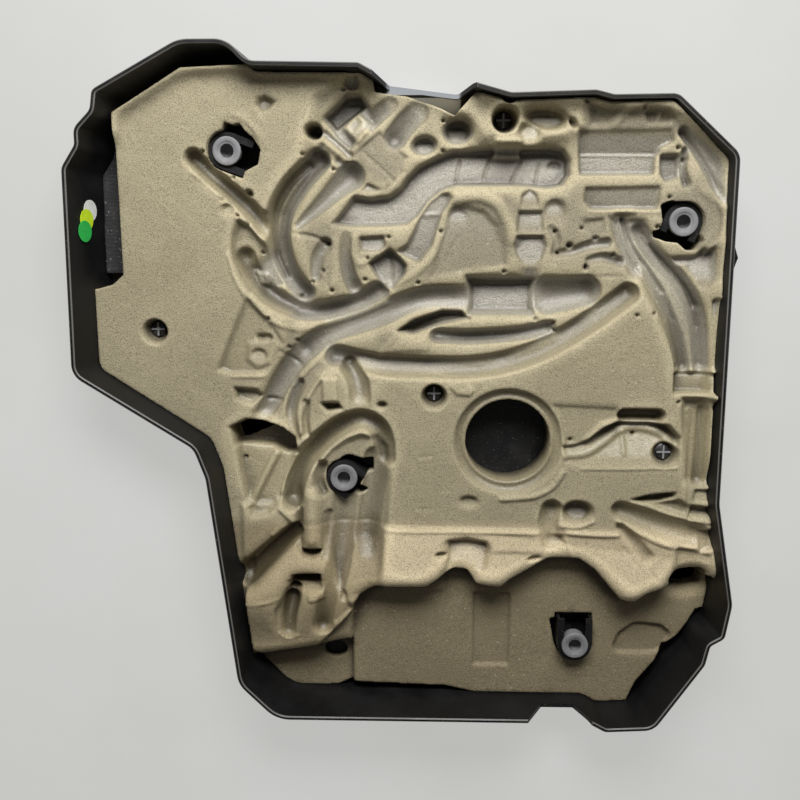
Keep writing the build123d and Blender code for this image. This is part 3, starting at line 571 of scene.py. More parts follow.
class CoverShellSettings(bpy.types.PropertyGroup):
    """Finish of the moulded plastic cover."""

    plastic: colour_setting("Plastic", "Colour of the black plastic", 14, 14, 15)
    # Colour of the painted highlight along the rim's top edge
    rim_highlight: colour_setting("Worn edge", "Colour along the rim's edge", 112, 110, 106)
    # Colour of the pale facets, painted light at the upper opening
    facet: colour_setting("Pale facet", "Colour of the pale facets at the upper opening", 122, 125, 129)
    # Colour of the painted highlight on the tips of the cross-shaped posts
    post: colour_setting("Post tip", "Colour of the rubbed post tips", 128, 128, 130)
    # Paler still: painted light set against the shade this facet lies in
    lower_facet: colour_setting("Lower facet", "Colour of the facet below the opening's edge", 176, 179, 184)
    dust: colour_setting("Dust", "Colour of settled dust", 120, 113, 100)


class CoverSmallPartSettings(bpy.types.PropertyGroup):
    """Finish of the grommets, caps, strip and dots."""

    rubber: colour_setting("Rubber", "Colour of the grommets", 122, 122, 124)
    segments: IntProperty(name="Segments", description="Steps round a grommet", default=72, min=16)
    cap: colour_setting("Cap", "Colour of the push-on caps", 24, 24, 26)
    strip: colour_setting("Strip", "Colour of the seal strip", 36, 35, 36)
    strip_voxel: FloatProperty(
        name="Strip voxel", description="Fineness of the strip's softened form", default=1.1 * MM,
        unit="LENGTH",
    )
    white: colour_setting("White dot", "Colour of the white dot", 214, 214, 210)
    yellow: colour_setting("Yellow dot", "Colour of the yellow dot", 190, 218, 40)
    green: colour_setting("Green dot", "Colour of the green dot", 42, 172, 74)


class CoverStageSettings(bpy.types.PropertyGroup):
    """Floor, light and camera."""

    floor: colour_setting("Floor", "Colour of the floor", 216, 216, 214)
    eye: FloatVectorProperty(
        name="Eye", description="Where the camera stands", subtype="XYZ",
        default=(0.0163, 0.1229, 0.6935), unit="LENGTH",
    )
    aim: FloatVectorProperty(
        name="Aim", description="What the camera looks at", subtype="XYZ", default=(-0.005, 0.0, 0.025),
        unit="LENGTH",
    )
    lens: FloatProperty(
        name="Lens", description="Focal length in millimetres", default=41.625, unit="CAMERA",
    )
    lamp_power: FloatProperty(
        name="Lamp power", description="Strength of the soft lamp", default=16.5, unit="POWER",
    )
    sky: FloatProperty(name="Sky", description="Strength of the even light", default=0.13)


def new_object(name, mesh):
    """Link a new object for a mesh."""
    piece = bpy.data.objects.new(name, mesh)
    bpy.context.scene.collection.objects.link(piece)
    return piece


def mesh_from(form, name):
    """Smooth mesh of a finished form."""
    mesh = bpy.data.meshes.new(name)
    form.to_mesh(mesh)
    form.free()
    mesh.polygons.foreach_set("use_smooth", [True] * len(mesh.polygons))
    return mesh


def applied(context, block):
    """Smooth mesh of an object with its modifiers applied; the object goes."""
    ready = block.evaluated_get(context.evaluated_depsgraph_get())
    mesh = bpy.data.meshes.new_from_object(ready)
    bpy.data.objects.remove(block)
    mesh.polygons.foreach_set("use_smooth", [True] * len(mesh.polygons))
    return mesh


# Shader building blocks


def add_node(tree, kind, **values):
    """Add a node; values that name inputs set them, the others set the node's own options."""
    node = tree.nodes.new(kind)
    for key, value in values.items():
        if key in node.bl_rna.properties:
            setattr(node, key, value)
        else:
            node.inputs[key.replace("_", " ")].default_value = value
    return node


def math_node(tree, operation, first, second=0.5):
    """Maths on one or two sockets or numbers; gives its output socket."""
    node = add_node(tree, "ShaderNodeMath", operation=operation)
    for socket, value in zip(node.inputs, (first, second)):
        if isinstance(value, (int, float)):
            socket.default_value = value
        else:
            tree.links.new(value, socket)
    return node.outputs[0]


def times(tree, first, second):
    """Product of two sockets or numbers; gives its output socket."""
    return math_node(tree, "MULTIPLY", first, second)


def ramp_between(tree, value, low, high):
    """0 at the first value, 1 at the second, smooth between; gives its output socket."""
    node = add_node(tree, "ShaderNodeMapRange", interpolation_type="SMOOTHSTEP")
    tree.links.new(value, node.inputs["Value"])
    node.inputs["From Min"].default_value = low
    node.inputs["From Max"].default_value = high
    return node.outputs["Result"]


def mix_colour(tree, mask, first, second, blend="MIX"):
    """Colour between two colours or sockets by a mask; gives its output socket."""
    node = add_node(tree, "ShaderNodeMix", data_type="RGBA", blend_type=blend)
    sockets = [node.inputs[0], node.inputs[6], node.inputs[7]]
    for socket, value in zip(sockets, (mask, first, second)):
        if hasattr(value, "is_linked"):
            tree.links.new(value, socket)
        elif isinstance(value, (int, float)):
            socket.default_value = value
        else:
            socket.default_value = (*value, 1.0)
    return node.outputs[2]


def tinted(tree, mask, colour, tint):
    """Colour that a tint multiplies where a mask says; gives its output socket."""
    return mix_colour(tree, mask, colour, mix_colour(tree, 1.0, colour, tint, "MULTIPLY"))


def attribute(tree, name):
    """A mask that the mesh carries; gives its output socket."""
    return add_node(tree, "ShaderNodeAttribute", attribute_name=name).outputs["Fac"]


def split_geometry(tree, output):
    """Sockets with x, y and z of the surface's position or normal."""
    place = add_node(tree, "ShaderNodeNewGeometry")
    split = add_node(tree, "ShaderNodeSeparateXYZ")
    tree.links.new(place.outputs[output], split.inputs[0])
    return split.outputs


def new_group(name, inputs, outputs):
    """Empty shader group with number inputs and outputs."""
    tree = bpy.data.node_groups.new(name, "ShaderNodeTree")
    for label, default in inputs:
        socket = tree.interface.new_socket(label, in_out="INPUT", socket_type="NodeSocketFloat")
        socket.default_value = default
    for label in outputs:
        tree.interface.new_socket(label, in_out="OUTPUT", socket_type="NodeSocketFloat")
    return tree, tree.nodes.new("NodeGroupInput"), tree.nodes.new("NodeGroupOutput")


def place_group(tree, maker, **values):
    """Use a shared group in a material with its own values."""
    node = tree.nodes.new("ShaderNodeGroup")
    node.node_tree = shared_group(maker)
    for key, value in values.items():
        node.inputs[key].default_value = value
    return node


def noise(tree, scale, detail, roughness=0.55):
    """Noise over the object's own place, its scale a socket or a number; gives its output socket."""
    place = add_node(tree, "ShaderNodeTexCoord")
    node = add_node(tree, "ShaderNodeTexNoise", Detail=detail, Roughness=roughness)
    tree.links.new(place.outputs["Object"], node.inputs["Vector"])
    if isinstance(scale, (int, float)):
        node.inputs["Scale"].default_value = scale
    else:
        tree.links.new(scale, node.inputs["Scale"])
    return node.outputs["Fac"]


def grain_group():
    """Fine surface grain: a height for bump and a mask of its pits."""
    tree, given, result = new_group("Moulded grain", [("Scale", 900.0)], ["Height", "Pits"])
    fine = noise(tree, given.outputs["Scale"], 4.0, 0.6)
    coarse = noise(tree, times(tree, given.outputs["Scale"], 0.22), 2.0)
    both = math_node(tree, "ADD", fine, times(tree, coarse, 0.8))
    tree.links.new(both, result.inputs["Height"])
    tree.links.new(ramp_between(tree, fine, 0.54, 0.34), result.inputs["Pits"])
    return tree


def blotch_group():
    """Large soft patches."""
    tree, given, result = new_group("Soft blotches", [("Scale", 14.0)], ["Mask"])
    patches = noise(tree, given.outputs["Scale"], 5.0, 0.6)
    tree.links.new(ramp_between(tree, patches, 0.35, 0.68), result.inputs["Mask"])
    return tree


def dust_group():
    """Specks and a thin film of dust on what faces up."""
    tree, given, result = new_group("Settled dust", [("Scale", 700.0), ("Film", 0.3)], ["Mask"])
    upward = ramp_between(tree, split_geometry(tree, "Normal")["Z"], 0.1, 0.9)
    specks = ramp_between(tree, noise(tree, given.outputs["Scale"], 2.0), 0.66, 0.74)
    cloud = ramp_between(tree, noise(tree, 60.0, 5.0, 0.65), 0.4, 0.75)
    film = times(tree, cloud, given.outputs["Film"])
    both = math_node(tree, "MAXIMUM", specks, film)
    tree.links.new(times(tree, both, upward), result.inputs["Mask"])
    return tree


def shared_group(maker):
    """A group that is built once and used again."""
    key = maker.__name__
    found = bpy.context.scene.get(key)
    if found and found in bpy.data.node_groups:
        return bpy.data.node_groups[found]
    tree = maker()
    bpy.context.scene[key] = tree.name
    return tree


def new_material(name, roughness):
    """Material with an empty Principled shader; gives the material, its tree and the shader."""
    material = bpy.data.materials.new(name)
    material.use_nodes = True
    shader = material.node_tree.nodes["Principled BSDF"]
    shader.inputs["Roughness"].default_value = roughness
    return material, material.node_tree, shader


def link_finish(tree, shader, colour, mask, spread, base):
    """Link a colour, and a roughness that spreads from its base value by a mask."""
    tree.links.new(colour, shader.inputs["Base Color"])
    roughness = math_node(tree, "ADD", times(tree, mask, spread), base)
    tree.links.new(roughness, shader.inputs["Roughness"])


def add_bump(tree, shader, height, distance, strength):
    """Drive the shader's normal from a height."""
    bump = add_node(tree, "ShaderNodeBump", Strength=strength, Distance=distance)
    tree.links.new(height, bump.inputs["Height"])
    tree.links.new(bump.outputs["Normal"], shader.inputs["Normal"])


def dress(piece, material):
    """Give a piece one material on all its faces."""
    piece.data.materials.clear()
    piece.data.materials.append(material)


# Foam relief


def surface_tree(node):
    """Search tree over the faces of one solid."""
    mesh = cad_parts[node].data
    points = [vertex.co for vertex in mesh.vertices]
    return BVHTree.FromPolygons(points, [tuple(face.vertices) for face in mesh.polygons])


def height_at(tree, x, y):
    """Height of the solid's upper side in millimetres, or nothing beside it."""
    hit = tree.ray_cast(Vector((x * MM, y * MM, RAY_ABOVE)), Vector((0, 0, -1)))[0]
    return None if hit is None else hit.z / MM


def blurred(values, sigma):
    """Values smoothed over a number of cells."""
    reach = max(1, math.ceil(3 * sigma))
    weights = np.exp(-0.5 * (np.arange(-reach, reach + 1) / sigma) ** 2)
    weights /= weights.sum()
    for axis in (0, 1):
        wide = np.pad(values, [(reach, reach) if axis == side else (0, 0) for side in (0, 1)])
        count = values.shape[axis]
        parts = [wide.take(range(k, k + count), axis) * weight for k, weight in enumerate(weights)]
        values = sum(parts)
    return values


class Relief:
    """Heights of the foam's upper side on an even grid, in millimetres."""

    def __init__(self, tree, cell):
        self.tree = tree
        self.cell = cell
        margin = 3 * cell
        self.x0 = FOAM_LOW.x / MM - margin
        self.y0 = FOAM_LOW.y / MM - margin
        columns = math.ceil((FOAM_HIGH.x / MM + margin - self.x0) / cell) + 1
        rows = math.ceil((FOAM_HIGH.y / MM + margin - self.y0) / cell) + 1
        self.x = self.x0 + cell * np.arange(columns)[:, None] + np.zeros((1, rows))
        self.y = self.y0 + cell * np.arange(rows)[None, :] + np.zeros((columns, 1))
        found = [[height_at(tree, x, y) for x, y in zip(xs, ys)] for xs, ys in zip(self.x, self.y)]
        self.inside = np.array([[h is not None for h in line] for line in found])
        self.height = np.array([[h or 0.0 for h in line] for line in found])

    def foam_share(self, reach):
        """How much of what is round each cell is foam."""
        return blurred(self.inside.astype(float), reach / self.cell)

    def mean_height(self, reach):
        """Mean height round each cell, without the empty cells beside the foam."""
        share = np.maximum(self.foam_share(reach), LEAST_SHARE)
        return blurred(self.height * self.inside, reach / self.cell) / share

    def drop_edges(self, drop, reach):
        """Roll the heights down along the foam's cut edges."""
        away = np.clip(2 * self.foam_share(reach) - 1, 0, 1)
        self.height -= drop * (1 - away) ** 2

    def window(self, low, high):
        """Slices of the cells in a box."""
        columns, rows = self.height.shape
        first = [int((low[0] - self.x0) / self.cell), int((low[1] - self.y0) / self.cell)]
        last = [int((high[0] - self.x0) / self.cell) + 2, int((high[1] - self.y0) / self.cell) + 2]
        return (slice(max(first[0], 0), min(last[0], columns)), slice(max(first[1], 0), min(last[1], rows)))

    def sample(self, values, x, y):
        """Values between the grid's points."""
        u = np.clip((np.asarray(x) - self.x0) / self.cell, 0, values.shape[0] - 1.001)
        v = np.clip((np.asarray(y) - self.y0) / self.cell, 0, values.shape[1] - 1.001)
        i, j = u.astype(int), v.astype(int)
        a, b = u - i, v - j
        low = values[i, j] * (1 - a) + values[i + 1, j] * a
        high = values[i, j + 1] * (1 - a) + values[i + 1, j + 1] * a
        return low * (1 - b) + high * b

    def around(self, points, reach):
        """Slices of the cells near some points."""
        xs, ys = zip(*points)
        return self.window((min(xs) - reach, min(ys) - reach), (max(xs) + reach, max(ys) + reach))

    def share_inside(self, wall, outline):
        """Slices of the cells at an outline, and how far each is past the middle of its wall."""
        part = self.around(outline, wall)
        inside = depth_inside(self.x[part], self.y[part], outline)
        return part, smooth(inside, -0.5 * wall, 0.5 * wall)

    def level(self):
        """Lay the plain land afresh, so that every imprint is pressed with its own section."""
        land = LAND_HEIGHT + LAND_RISE_X * self.x + LAND_RISE_Y * self.y
        self.height = np.where(self.y > LIP_Y, land, self.height)
        lip = np.maximum(land, LAND_HEIGHT + LIP_RISE * (LIP_START - self.y) * (self.x < LIP_RIGHT))
        risen = (self.y <= LIP_Y) & (self.x > BLOCK_RIGHT) & (self.height > LOW_FOAM)
        self.height = np.where(risen, lip, self.height)
        ramp = land + BLOCK_RISE * smooth(-self.y, -BLOCK_RAMP_TOP, -BLOCK_RAMP_END)
        ramp -= BLOCK_FALL * smooth(-self.y, -BLOCK_EDGE, -BLOCK_FRONT)
        beside = (self.x < BLOCK_RIGHT) & (self.y < BLOCK_RAMP_TOP) & (self.height > LOW_FOAM)
        self.height = np.where(beside, np.minimum(self.height, ramp), self.height)
        self.field = np.zeros(self.height.shape)
        for depth, wall, grey, outline in FIELDS.values():
            part, share = self.share_inside(wall, outline)
            self.height[part] -= depth * share
            self.field[part] = np.maximum(self.field[part], grey * share)
        self.ground = self.height.copy()
        self.pressed = np.zeros(self.height.shape)

    def press(self, part, depth, beyond):
        """Sink the cells of a window to a depth below the ground and round the edge of the imprint."""
        target = self.ground[part] - PRESS_SHARE * depth + EDGE_SLOPE * beyond
        here = self.height[part]
        near = np.clip(1 - np.abs(here - target) / EDGE_ROUND, 0, 1)
        self.height[part] = np.minimum(here, target) - EDGE_SINK * EDGE_ROUND * near ** 2
        self.pressed[part] = np.maximum(self.pressed[part], smooth(depth, PRESSED_FROM, PRESSED_FULL))

    def press_hose(self, radius, depth, end_radius, end_depth, points):
        """Press a round section along a smooth path."""
        path = smooth_path(points)
        part = self.around(path, max(radius, end_radius) + EDGE_REACH)
        away, along = distance_to_path(self.x[part], self.y[part], path)
        reach = radius + (end_radius - radius) * along
        sunk = depth + (end_depth - depth) * along
        section = np.clip(1 - (away / reach) ** 2, 0, 1) ** HOSE_ROUNDNESS
        self.press(part, sunk * section, np.maximum(away - reach, 0))

    def press_pit(self, depth, wall, right, up, outline):
        """Press a floor with leaning walls."""
        outside = PIT_WALL_OUT * wall
        part = self.around(outline, outside + EDGE_REACH)
        x, y = self.x[part], self.y[part]
        middle = np.mean(outline, axis=0)
        sunk = np.maximum(depth + right * (x - middle[0]) + up * (y - middle[1]), PIT_LEAST_DEPTH)
        inside = depth_inside(x, y, outline)
        section = smooth(inside, -outside, PIT_WALL_IN * wall)
        self.press(part, sunk * section, np.maximum(-outside - inside, 0))

    def press_cup(self, x, y, long, wide, turn, depth):
        """Press a rounded oval."""
        reach = max(long, wide) + EDGE_REACH
        part = self.around([(x, y)], reach)
        away = self.oval(part, x, y, long, wide, turn)
        sunk = depth * (1 + CUP_LEAN * (self.y[part] - y) / reach)
        section = 1 - smooth(away, CUP_FLOOR, CUP_EDGE)
        self.press(part, sunk * section, np.maximum(away - CUP_EDGE, 0) * min(long, wide))

    def press_ring(self):
        """Press the ring round the filler opening, with a fine line along it."""
        away = np.hypot(self.x - FILLER[0], self.y - FILLER[1])
        near = self.around([FILLER], RING_REACH)
        depth = RING_DEPTH * (1 - smooth(away, RING_RADIUS - RING_WALL, RING_RADIUS))
        depth = depth + RING_LINE_DEPTH * (1 - smooth(np.abs(away - RING_LINE), *RING_LINE_SIDES))
        self.press(near, depth[near], np.maximum(away - RING_RADIUS, 0)[near])

    def run_up(self, rise, reach, where):
        """Let the foam climb the wall of the shell along part of its edge."""
        edge = (1 - smooth(self.foam_share(reach), *RUN_UP_SHARES)) * where
        edge *= np.hypot(self.x - FILLER[0], self.y - FILLER[1]) > RUN_UP_OPENING
        for name in GROMMET_NAMES:
            middle = node_middle("grommet_" + name)
            away = np.hypot(self.x - middle[0], self.y - middle[1])
            edge *= smooth(away, TOWER_REACH - TOWER_FADE, TOWER_REACH)
        raised = np.minimum(self.height + rise * edge, RUN_UP_LIMIT)
        self.height = np.maximum(self.height, raised)

    def press_wells(self):
        """Press a round well for each post, with its floor under the cap."""
        for name in POST_NAMES:
            middle = node_middle("retainer_" + name)
            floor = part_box("retainer_" + name)[0].z / MM - WELL_ROOM
            away = np.hypot(self.x - middle[0], self.y - middle[1])
            edge = WELL_EDGE - WELL_LEAN * (self.y - middle[1]) / np.maximum(away, 1)
            share = smooth(away, WELL_FLOOR, edge)
            self.height = floor + (self.height - floor) * np.where(away < edge, share, 1)

    def pillow(self):
        """Roll the edges over on the lip, the block and the sunk ground, as thick foam lobes are."""
        proud = np.maximum(self.height - self.mean_height(PILLOW_REACH) - PILLOW_PROUD, 0)
        where = np.maximum(smooth(-self.y, -PILLOW_START, -PILLOW_START + PILLOW_FADE), self.field)
        self.height -= PILLOW_SHARE * proud * where

    def oval(self, part, x, y, long, wide, turn):
        """Distance from the middle of an oval, where 1 is its edge."""
        c, s = math.cos(math.radians(turn)), math.sin(math.radians(turn))
        dx, dy = self.x[part] - x, self.y[part] - y
        return np.hypot((dx * c + dy * s) / long, (dy * c - dx * s) / wide)

    def add_line(self, half_width, height, points):
        """Raise a rounded line, or sink one."""
        path = smooth_path(points)
        part = self.around(path, LINE_FOOT * half_width)
        away = distance_to_path(self.x[part], self.y[part], path)[0]
        self.height[part] += height * (1 - smooth(away, LINE_TOP * half_width, LINE_FOOT * half_width))

    def add_block(self, height, wall, outline):
        """Raise a block with leaning walls."""
        part, share = self.share_inside(wall, outline)
        self.height[part] += height * share

    def add_pinhole(self, x, y):
        """Sink a pinhole."""
        part = self.around([(x, y)], PINHOLE_EDGE)
        away = np.hypot(self.x[part] - x, self.y[part] - y)
        self.height[part] -= PINHOLE_DEPTH * (1 - smooth(away, PINHOLE_FLOOR, PINHOLE_EDGE))

    def wave(self, long, bend, bent, cross_long, cross_bend, cross_bent):
        """Bent waves along x times bent waves along y."""
        along = np.sin(self.x / long + bend * np.sin(self.y / bent))
        across = np.sin(self.y / cross_long + cross_bend * np.sin(self.x / cross_bent))
        return along * across

    def add_waves(self):
        """Make the flats a little uneven, as moulded foam is."""
        self.height += sum(height * self.wave(*row) for height, *row in WAVES)


def smooth(values, low, high):
    """0 below the low value, 1 above the high one, smooth between."""
    share = np.clip((values - low) / (high - low), 0, 1)
    return share * share * (3 - 2 * share)


def smooth_path(points):
    """Points along a smooth line through some points."""
    ends = [2 * np.array(points[0]) - points[1], 2 * np.array(points[-1]) - points[-2]]
    given = np.array([ends[0], *points, ends[1]], float)
    path = []
    for a, b, c, d in zip(given, given[1:], given[2:], given[3:]):
        for t in np.arange(PATH_STEPS) / PATH_STEPS:
            bend = 2 * a - 5 * b + 4 * c - d
            twist = 3 * b - a - 3 * c + d
            path.append(0.5 * (2 * b + (c - a) * t + bend * t ** 2 + twist * t ** 3))
    return path + [given[-2]]


def distance_to_path(x, y, points):
    """Distance of each cell from a line of points, and how far along it the nearest point is."""
    nearest = np.full(x.shape, np.inf)
    along = np.zeros(x.shape)
    runs = len(points) - 1
    for index, ((ax, ay), (bx, by)) in enumerate(zip(points, points[1:])):
        dx, dy = bx - ax, by - ay
        share = np.clip(((x - ax) * dx + (y - ay) * dy) / (dx * dx + dy * dy), 0, 1)
        away = np.hypot(x - ax - share * dx, y - ay - share * dy)
        nearer = away < nearest
        nearest = np.where(nearer, away, nearest)
        along = np.where(nearer, (index + share) / runs, along)
    return nearest, along


def depth_inside(x, y, outline):
    """Distance from an outline, more than nothing inside it."""
    inside = np.zeros(x.shape, bool)
    closed = [*outline, outline[0]]
    for (ax, ay), (bx, by) in zip(closed, closed[1:]):
        if ay == by:
            continue
        crossing = ax + (y - ay) * (bx - ax) / (by - ay)
        inside ^= ((ay > y) != (by > y)) & (x < crossing)
    away = distance_to_path(x, y, closed)[0]
    return np.where(inside, away, -away)


def node_middle(node):
    """Middle of a solid in plan, in millimetres."""
    low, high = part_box(node)
    return (low.x + high.x) / 2 / MM, (low.y + high.y) / 2 / MM


def foam_relief(foam):
    """The solid's main forms with the engine's imprints pressed into them, softened."""
    relief = Relief(surface_tree("foam_pad"), foam.cell / MM / MESH_STEP)
    relief.level()
    for row in PITS.values():
        relief.press_pit(*row)
    for row in HOSES.values():
        relief.press_hose(*row)
    for row in CUPS:
        relief.press_cup(*row)
    for row in RISES.values():
        relief.add_block(*row)
    for half_width, height, points in CRESTS:
        relief.add_line(half_width, height, points)
    for half_width, depth, points in CREASES:
        relief.add_line(half_width, -depth, points)
    relief.press_ring()
    right = smooth(relief.x, RUN_UP_LEFT, RUN_UP_LEFT + RUN_UP_LEFT_FADE)
    right = right * smooth(relief.y, RUN_UP_LOW, RUN_UP_LOW + RUN_UP_LOW_FADE)
    relief.run_up(RUN_UP, RUN_UP_REACH, right)
    notch = smooth(np.abs(relief.x - NOTCH_MIDDLE), NOTCH_HALF, NOTCH_HALF + NOTCH_FADE)
    relief.run_up(TOP_RUN_UP, TOP_REACH, smooth(relief.y, TOP_LOW, TOP_LOW + TOP_FADE) * notch)
    relief.add_waves()
    relief.pillow()
    relief.press_wells()
    relief.height = relief.mean_height(foam.softness / MM)
    for x, y in PINHOLES:
        relief.add_pinhole(x, y)
    relief.drop_edges(foam.edge_drop / MM, foam.softness / MM)
    return relief


def outline_share(tree, start, end):
    """Where the foam's outline crosses from a point in the foam to one beside it, as a share."""
    low, high = 0.0, 1.0
    for step in range(CROSSING_TRIES):
        middle = (low + high) / 2
        x = start[0] + middle * (end[0] - start[0])
        y = start[1] + middle * (end[1] - start[1])
        if height_at(tree, x, y) is None:
            high = middle
        else:
            low = middle
    return min(max(low, CROSSING_ROOM), 1 - CROSSING_ROOM)


def foam_mesh(relief):
    """Closed mesh of the foam: upper side on a grid cut to the outline, upright edges and a back."""
    coarse = (slice(None, None, MESH_STEP), slice(None, None, MESH_STEP))
    inside, xs, ys = relief.inside[coarse], relief.x[coarse], relief.y[coarse]
    form = bmesh.new()
    corners = {}
    crossings = {}

    def point(x, y):
        return form.verts.new((x * MM, y * MM, float(relief.sample(relief.height, x, y)) * MM))

    def corner(i, j):
        if (i, j) not in corners:
            corners[i, j] = point(xs[i, j], ys[i, j])
        return corners[i, j]

    def crossing(a, b):
        inner, outer = (a, b) if inside[a] else (b, a)
        if (inner, outer) not in crossings:
            start, end = (xs[inner], ys[inner]), (xs[outer], ys[outer])
            share = outline_share(relief.tree, start, end)
            crossings[inner, outer] = point(
                start[0] + share * (end[0] - start[0]), start[1] + share * (end[1] - start[1]),
            )
        return crossings[inner, outer]

    for i in range(inside.shape[0] - 1):
        for j in range(inside.shape[1] - 1):
            around = [(i, j), (i + 1, j), (i + 1, j + 1), (i, j + 1)]
            if not any(inside[place] for place in around):
                continue
            face = []
            for here, after in zip(around, around[1:] + around[:1]):
                if inside[here]:
                    face.append(corner(*here))
                if inside[here] != inside[after]:
                    face.append(crossing(here, after))
            if len(face) > 2:
                form.faces.new(face)
    close_below(form)
    return mesh_from(form, "foam_relief")


def clear_height(tree, place):
    """Lowest height under a point at which the foam stays inside the shell's leaning wall."""
    hit = tree.ray_cast(Vector((place.x, place.y, RAY_BELOW)), Vector((0, 0, 1)))[0]
    if hit is None or hit.z < WALL_START:
        return FOAM_LOW.z
    return max(FOAM_LOW.z, hit.z + WALL_ROOM)


def column(vertex):
    """Key of the upright line that a point stands on."""
    return round(vertex.co.x, 7), round(vertex.co.y, 7)


def close_below(form):
    """Add the upright edges and the back to an open upper side, clear of the shell's outer side."""
    shell = surface_tree("cover_shell")
    border = [edge for edge in form.edges if edge.is_boundary]
    outline = list(dict.fromkeys(vertex for edge in border for vertex in edge.verts))
    places = np.array([vertex.co.xy for vertex in outline])
    clear = np.array([clear_height(shell, vertex.co) for vertex in outline])
    tops, lows = {}, {}
    for vertex, place in zip(outline, places):
        near = np.hypot(*(places - place).T) < WALL_SPREAD
        tops[column(vertex)] = vertex.co.z
        lows[column(vertex)] = min(clear[near].max(), vertex.co.z - MM)
    back = bmesh.ops.duplicate(form, geom=form.verts[:] + form.edges[:] + form.faces[:])["geom"]
    back = [item for item in back if isinstance(item, bmesh.types.BMVert)]
    for vertex in back:
        spot = column(vertex)
        if spot in lows:
            vertex.co.z = lows[spot]
        else:
            vertex.co.z = min(clear_height(shell, vertex.co), vertex.co.z - MM)
    for drop in SIDE_RINGS:
        made = bmesh.ops.extrude_edge_only(form, edges=border)["geom"]
        border = [item for item in made if isinstance(item, bmesh.types.BMEdge) and item.is_boundary]
        ring = [item for item in made if isinstance(item, bmesh.types.BMVert)]
        for vertex in ring:
            top, low = tops[column(vertex)], lows[column(vertex)]
            vertex.co.z = top + (low - top) * drop
    bmesh.ops.remove_doubles(form, verts=ring + back, dist=JOIN_DISTANCE)
    bmesh.ops.recalc_face_normals(form, faces=form.faces)


def thinned(context, mesh, triangles):
    """The mesh with fewer triangles, the plain areas thinned first."""
    block = new_object("foam_block", mesh)
    mesh.calc_loop_triangles()
    thin = block.modifiers.new("thin", "DECIMATE")
    thin.ratio = min(1.0, triangles / len(mesh.loop_triangles))
    ready = applied(context, block)
    for vertex in ready.vertices:
        vertex.co.z = max(vertex.co.z, FOAM_LOW.z)
    return ready


def paint_masks(mesh, relief):
    """Store how sunk or raised each point is, for the foam's gloss and its colour with painted shade and
    highlight.
    """
    places = np.zeros(len(mesh.vertices) * 3)
    mesh.vertices.foreach_get("co", places)
    x, y, z = places.reshape(-1, 3).T / MM
    sunk = np.clip((relief.mean_height(MASK_REACH) - relief.height) / MASK_DEPTH, -1, 1)
    values = relief.sample(sunk, x, y)
    masks = {
        "hollow": np.clip(values, 0, 1),
        "crest_highlight": np.clip(-values, 0, 1),
        "pressed": relief.sample(blurred(relief.pressed, PRESSED_BLUR), x, y),
        "field": relief.sample(blurred(relief.field, FIELD_BLUR), x, y),
    }
    for name, mask in masks.items():
        layer = mesh.attributes.new(name, "FLOAT", "POINT")
        layer.data.foreach_set("value", mask.astype(np.float32))


def place_tints(tree):
    """Masks and tints of the painted shadow on the low foam, the darker block and the lip with its painted
    light.
    """
    x, y, z = split_geometry(tree, "Position")
    lower = ramp_between(tree, y, *LOWER_FOAM_Y)
    # Painted shadow on the low foam under the lip
    low_shade = times(tree, lower, ramp_between(tree, z, *LOW_SHADE_Z))
    lobe = times(tree, lower, ramp_between(tree, z, *LOBE_Z))
    block = times(tree, lobe, ramp_between(tree, x, *BLOCK_X))
    # The lip's own tone, with painted light on its lobes
    lip = times(tree, lobe, ramp_between(tree, x, *LIP_X))
    return (low_shade, LOW_SHADE_TINT), (block, BLOCK_TINT), (lip, LIP_TONE_AND_LIGHT_TINT)


def foam_material(foam):
    """Moulded polyurethane: tan skin, greyer and shinier in the pressed floors, with a painted highlight
    where it stands proud.
    """
    material, tree, shader = new_material("foam_skin", 0.8)
    shader.inputs["Specular IOR Level"].default_value = 0.75
    blotch = place_group(tree, blotch_group, Scale=16.0)
    grain = place_group(tree, grain_group, Scale=1150.0)
    dust = place_group(tree, dust_group, Scale=420.0, Film=0.0)
    field = attribute(tree, "field")
    deep = ramp_between(tree, attribute(tree, "pressed"), 0.3, 0.9)
    hollow = ramp_between(tree, attribute(tree, "hollow"), 0.1, 1.0)
    crest_highlight = ramp_between(tree, attribute(tree, "crest_highlight"), 0.1, 0.7)
    grey = times(tree, field, math_node(tree, "ADD", times(tree, deep, 0.7), 0.22))
    # Land inside the sunk ground, away from its pressed floors, is darker
    field_land = times(tree, field, math_node(tree, "SUBTRACT", 1.0, deep))
    colour = mix_colour(tree, grey, foam.land, foam.hollow)
    colour = tinted(tree, field_land, colour, FIELD_LAND_TINT)
    # Painted shade in the hollows
    colour = tinted(tree, hollow, colour, HOLLOW_SHADE_TINT)
    # Painted highlight on what stands above its surroundings
    colour = mix_colour(tree, crest_highlight, colour, foam.crest_highlight)
    colour = tinted(tree, times(tree, blotch.outputs["Mask"], 0.5), colour, BLOTCH_TINT)
    for mask, tint in place_tints(tree):
        colour = tinted(tree, mask, colour, tint)
    colour = tinted(tree, grain.outputs["Pits"], colour, PITTED_TINT)
    colour = mix_colour(tree, times(tree, dust.outputs["Mask"], 0.35), colour, FOAM_DUST)
    link_finish(tree, shader, colour, deep, -0.44, 0.82)
    add_bump(tree, shader, grain.outputs["Height"], 0.0006, 0.7)
    return material


def notch_light_mask(tree, x, y, z):
    """Mask of the two pale facets at the upper opening, painted light, with a dark line between them."""
    sides = times(tree, ramp_between(tree, x, *FACET_LEFT), ramp_between(tree, x, *FACET_RIGHT))
    facets = times(tree, sides, ramp_between(tree, y, *FACET_FRONT))
    line = times(tree, ramp_between(tree, z, *FACET_LINE_OVER), ramp_between(tree, z, *FACET_LINE_UNDER))
    return times(tree, facets, math_node(tree, "SUBTRACT", 1.0, line))


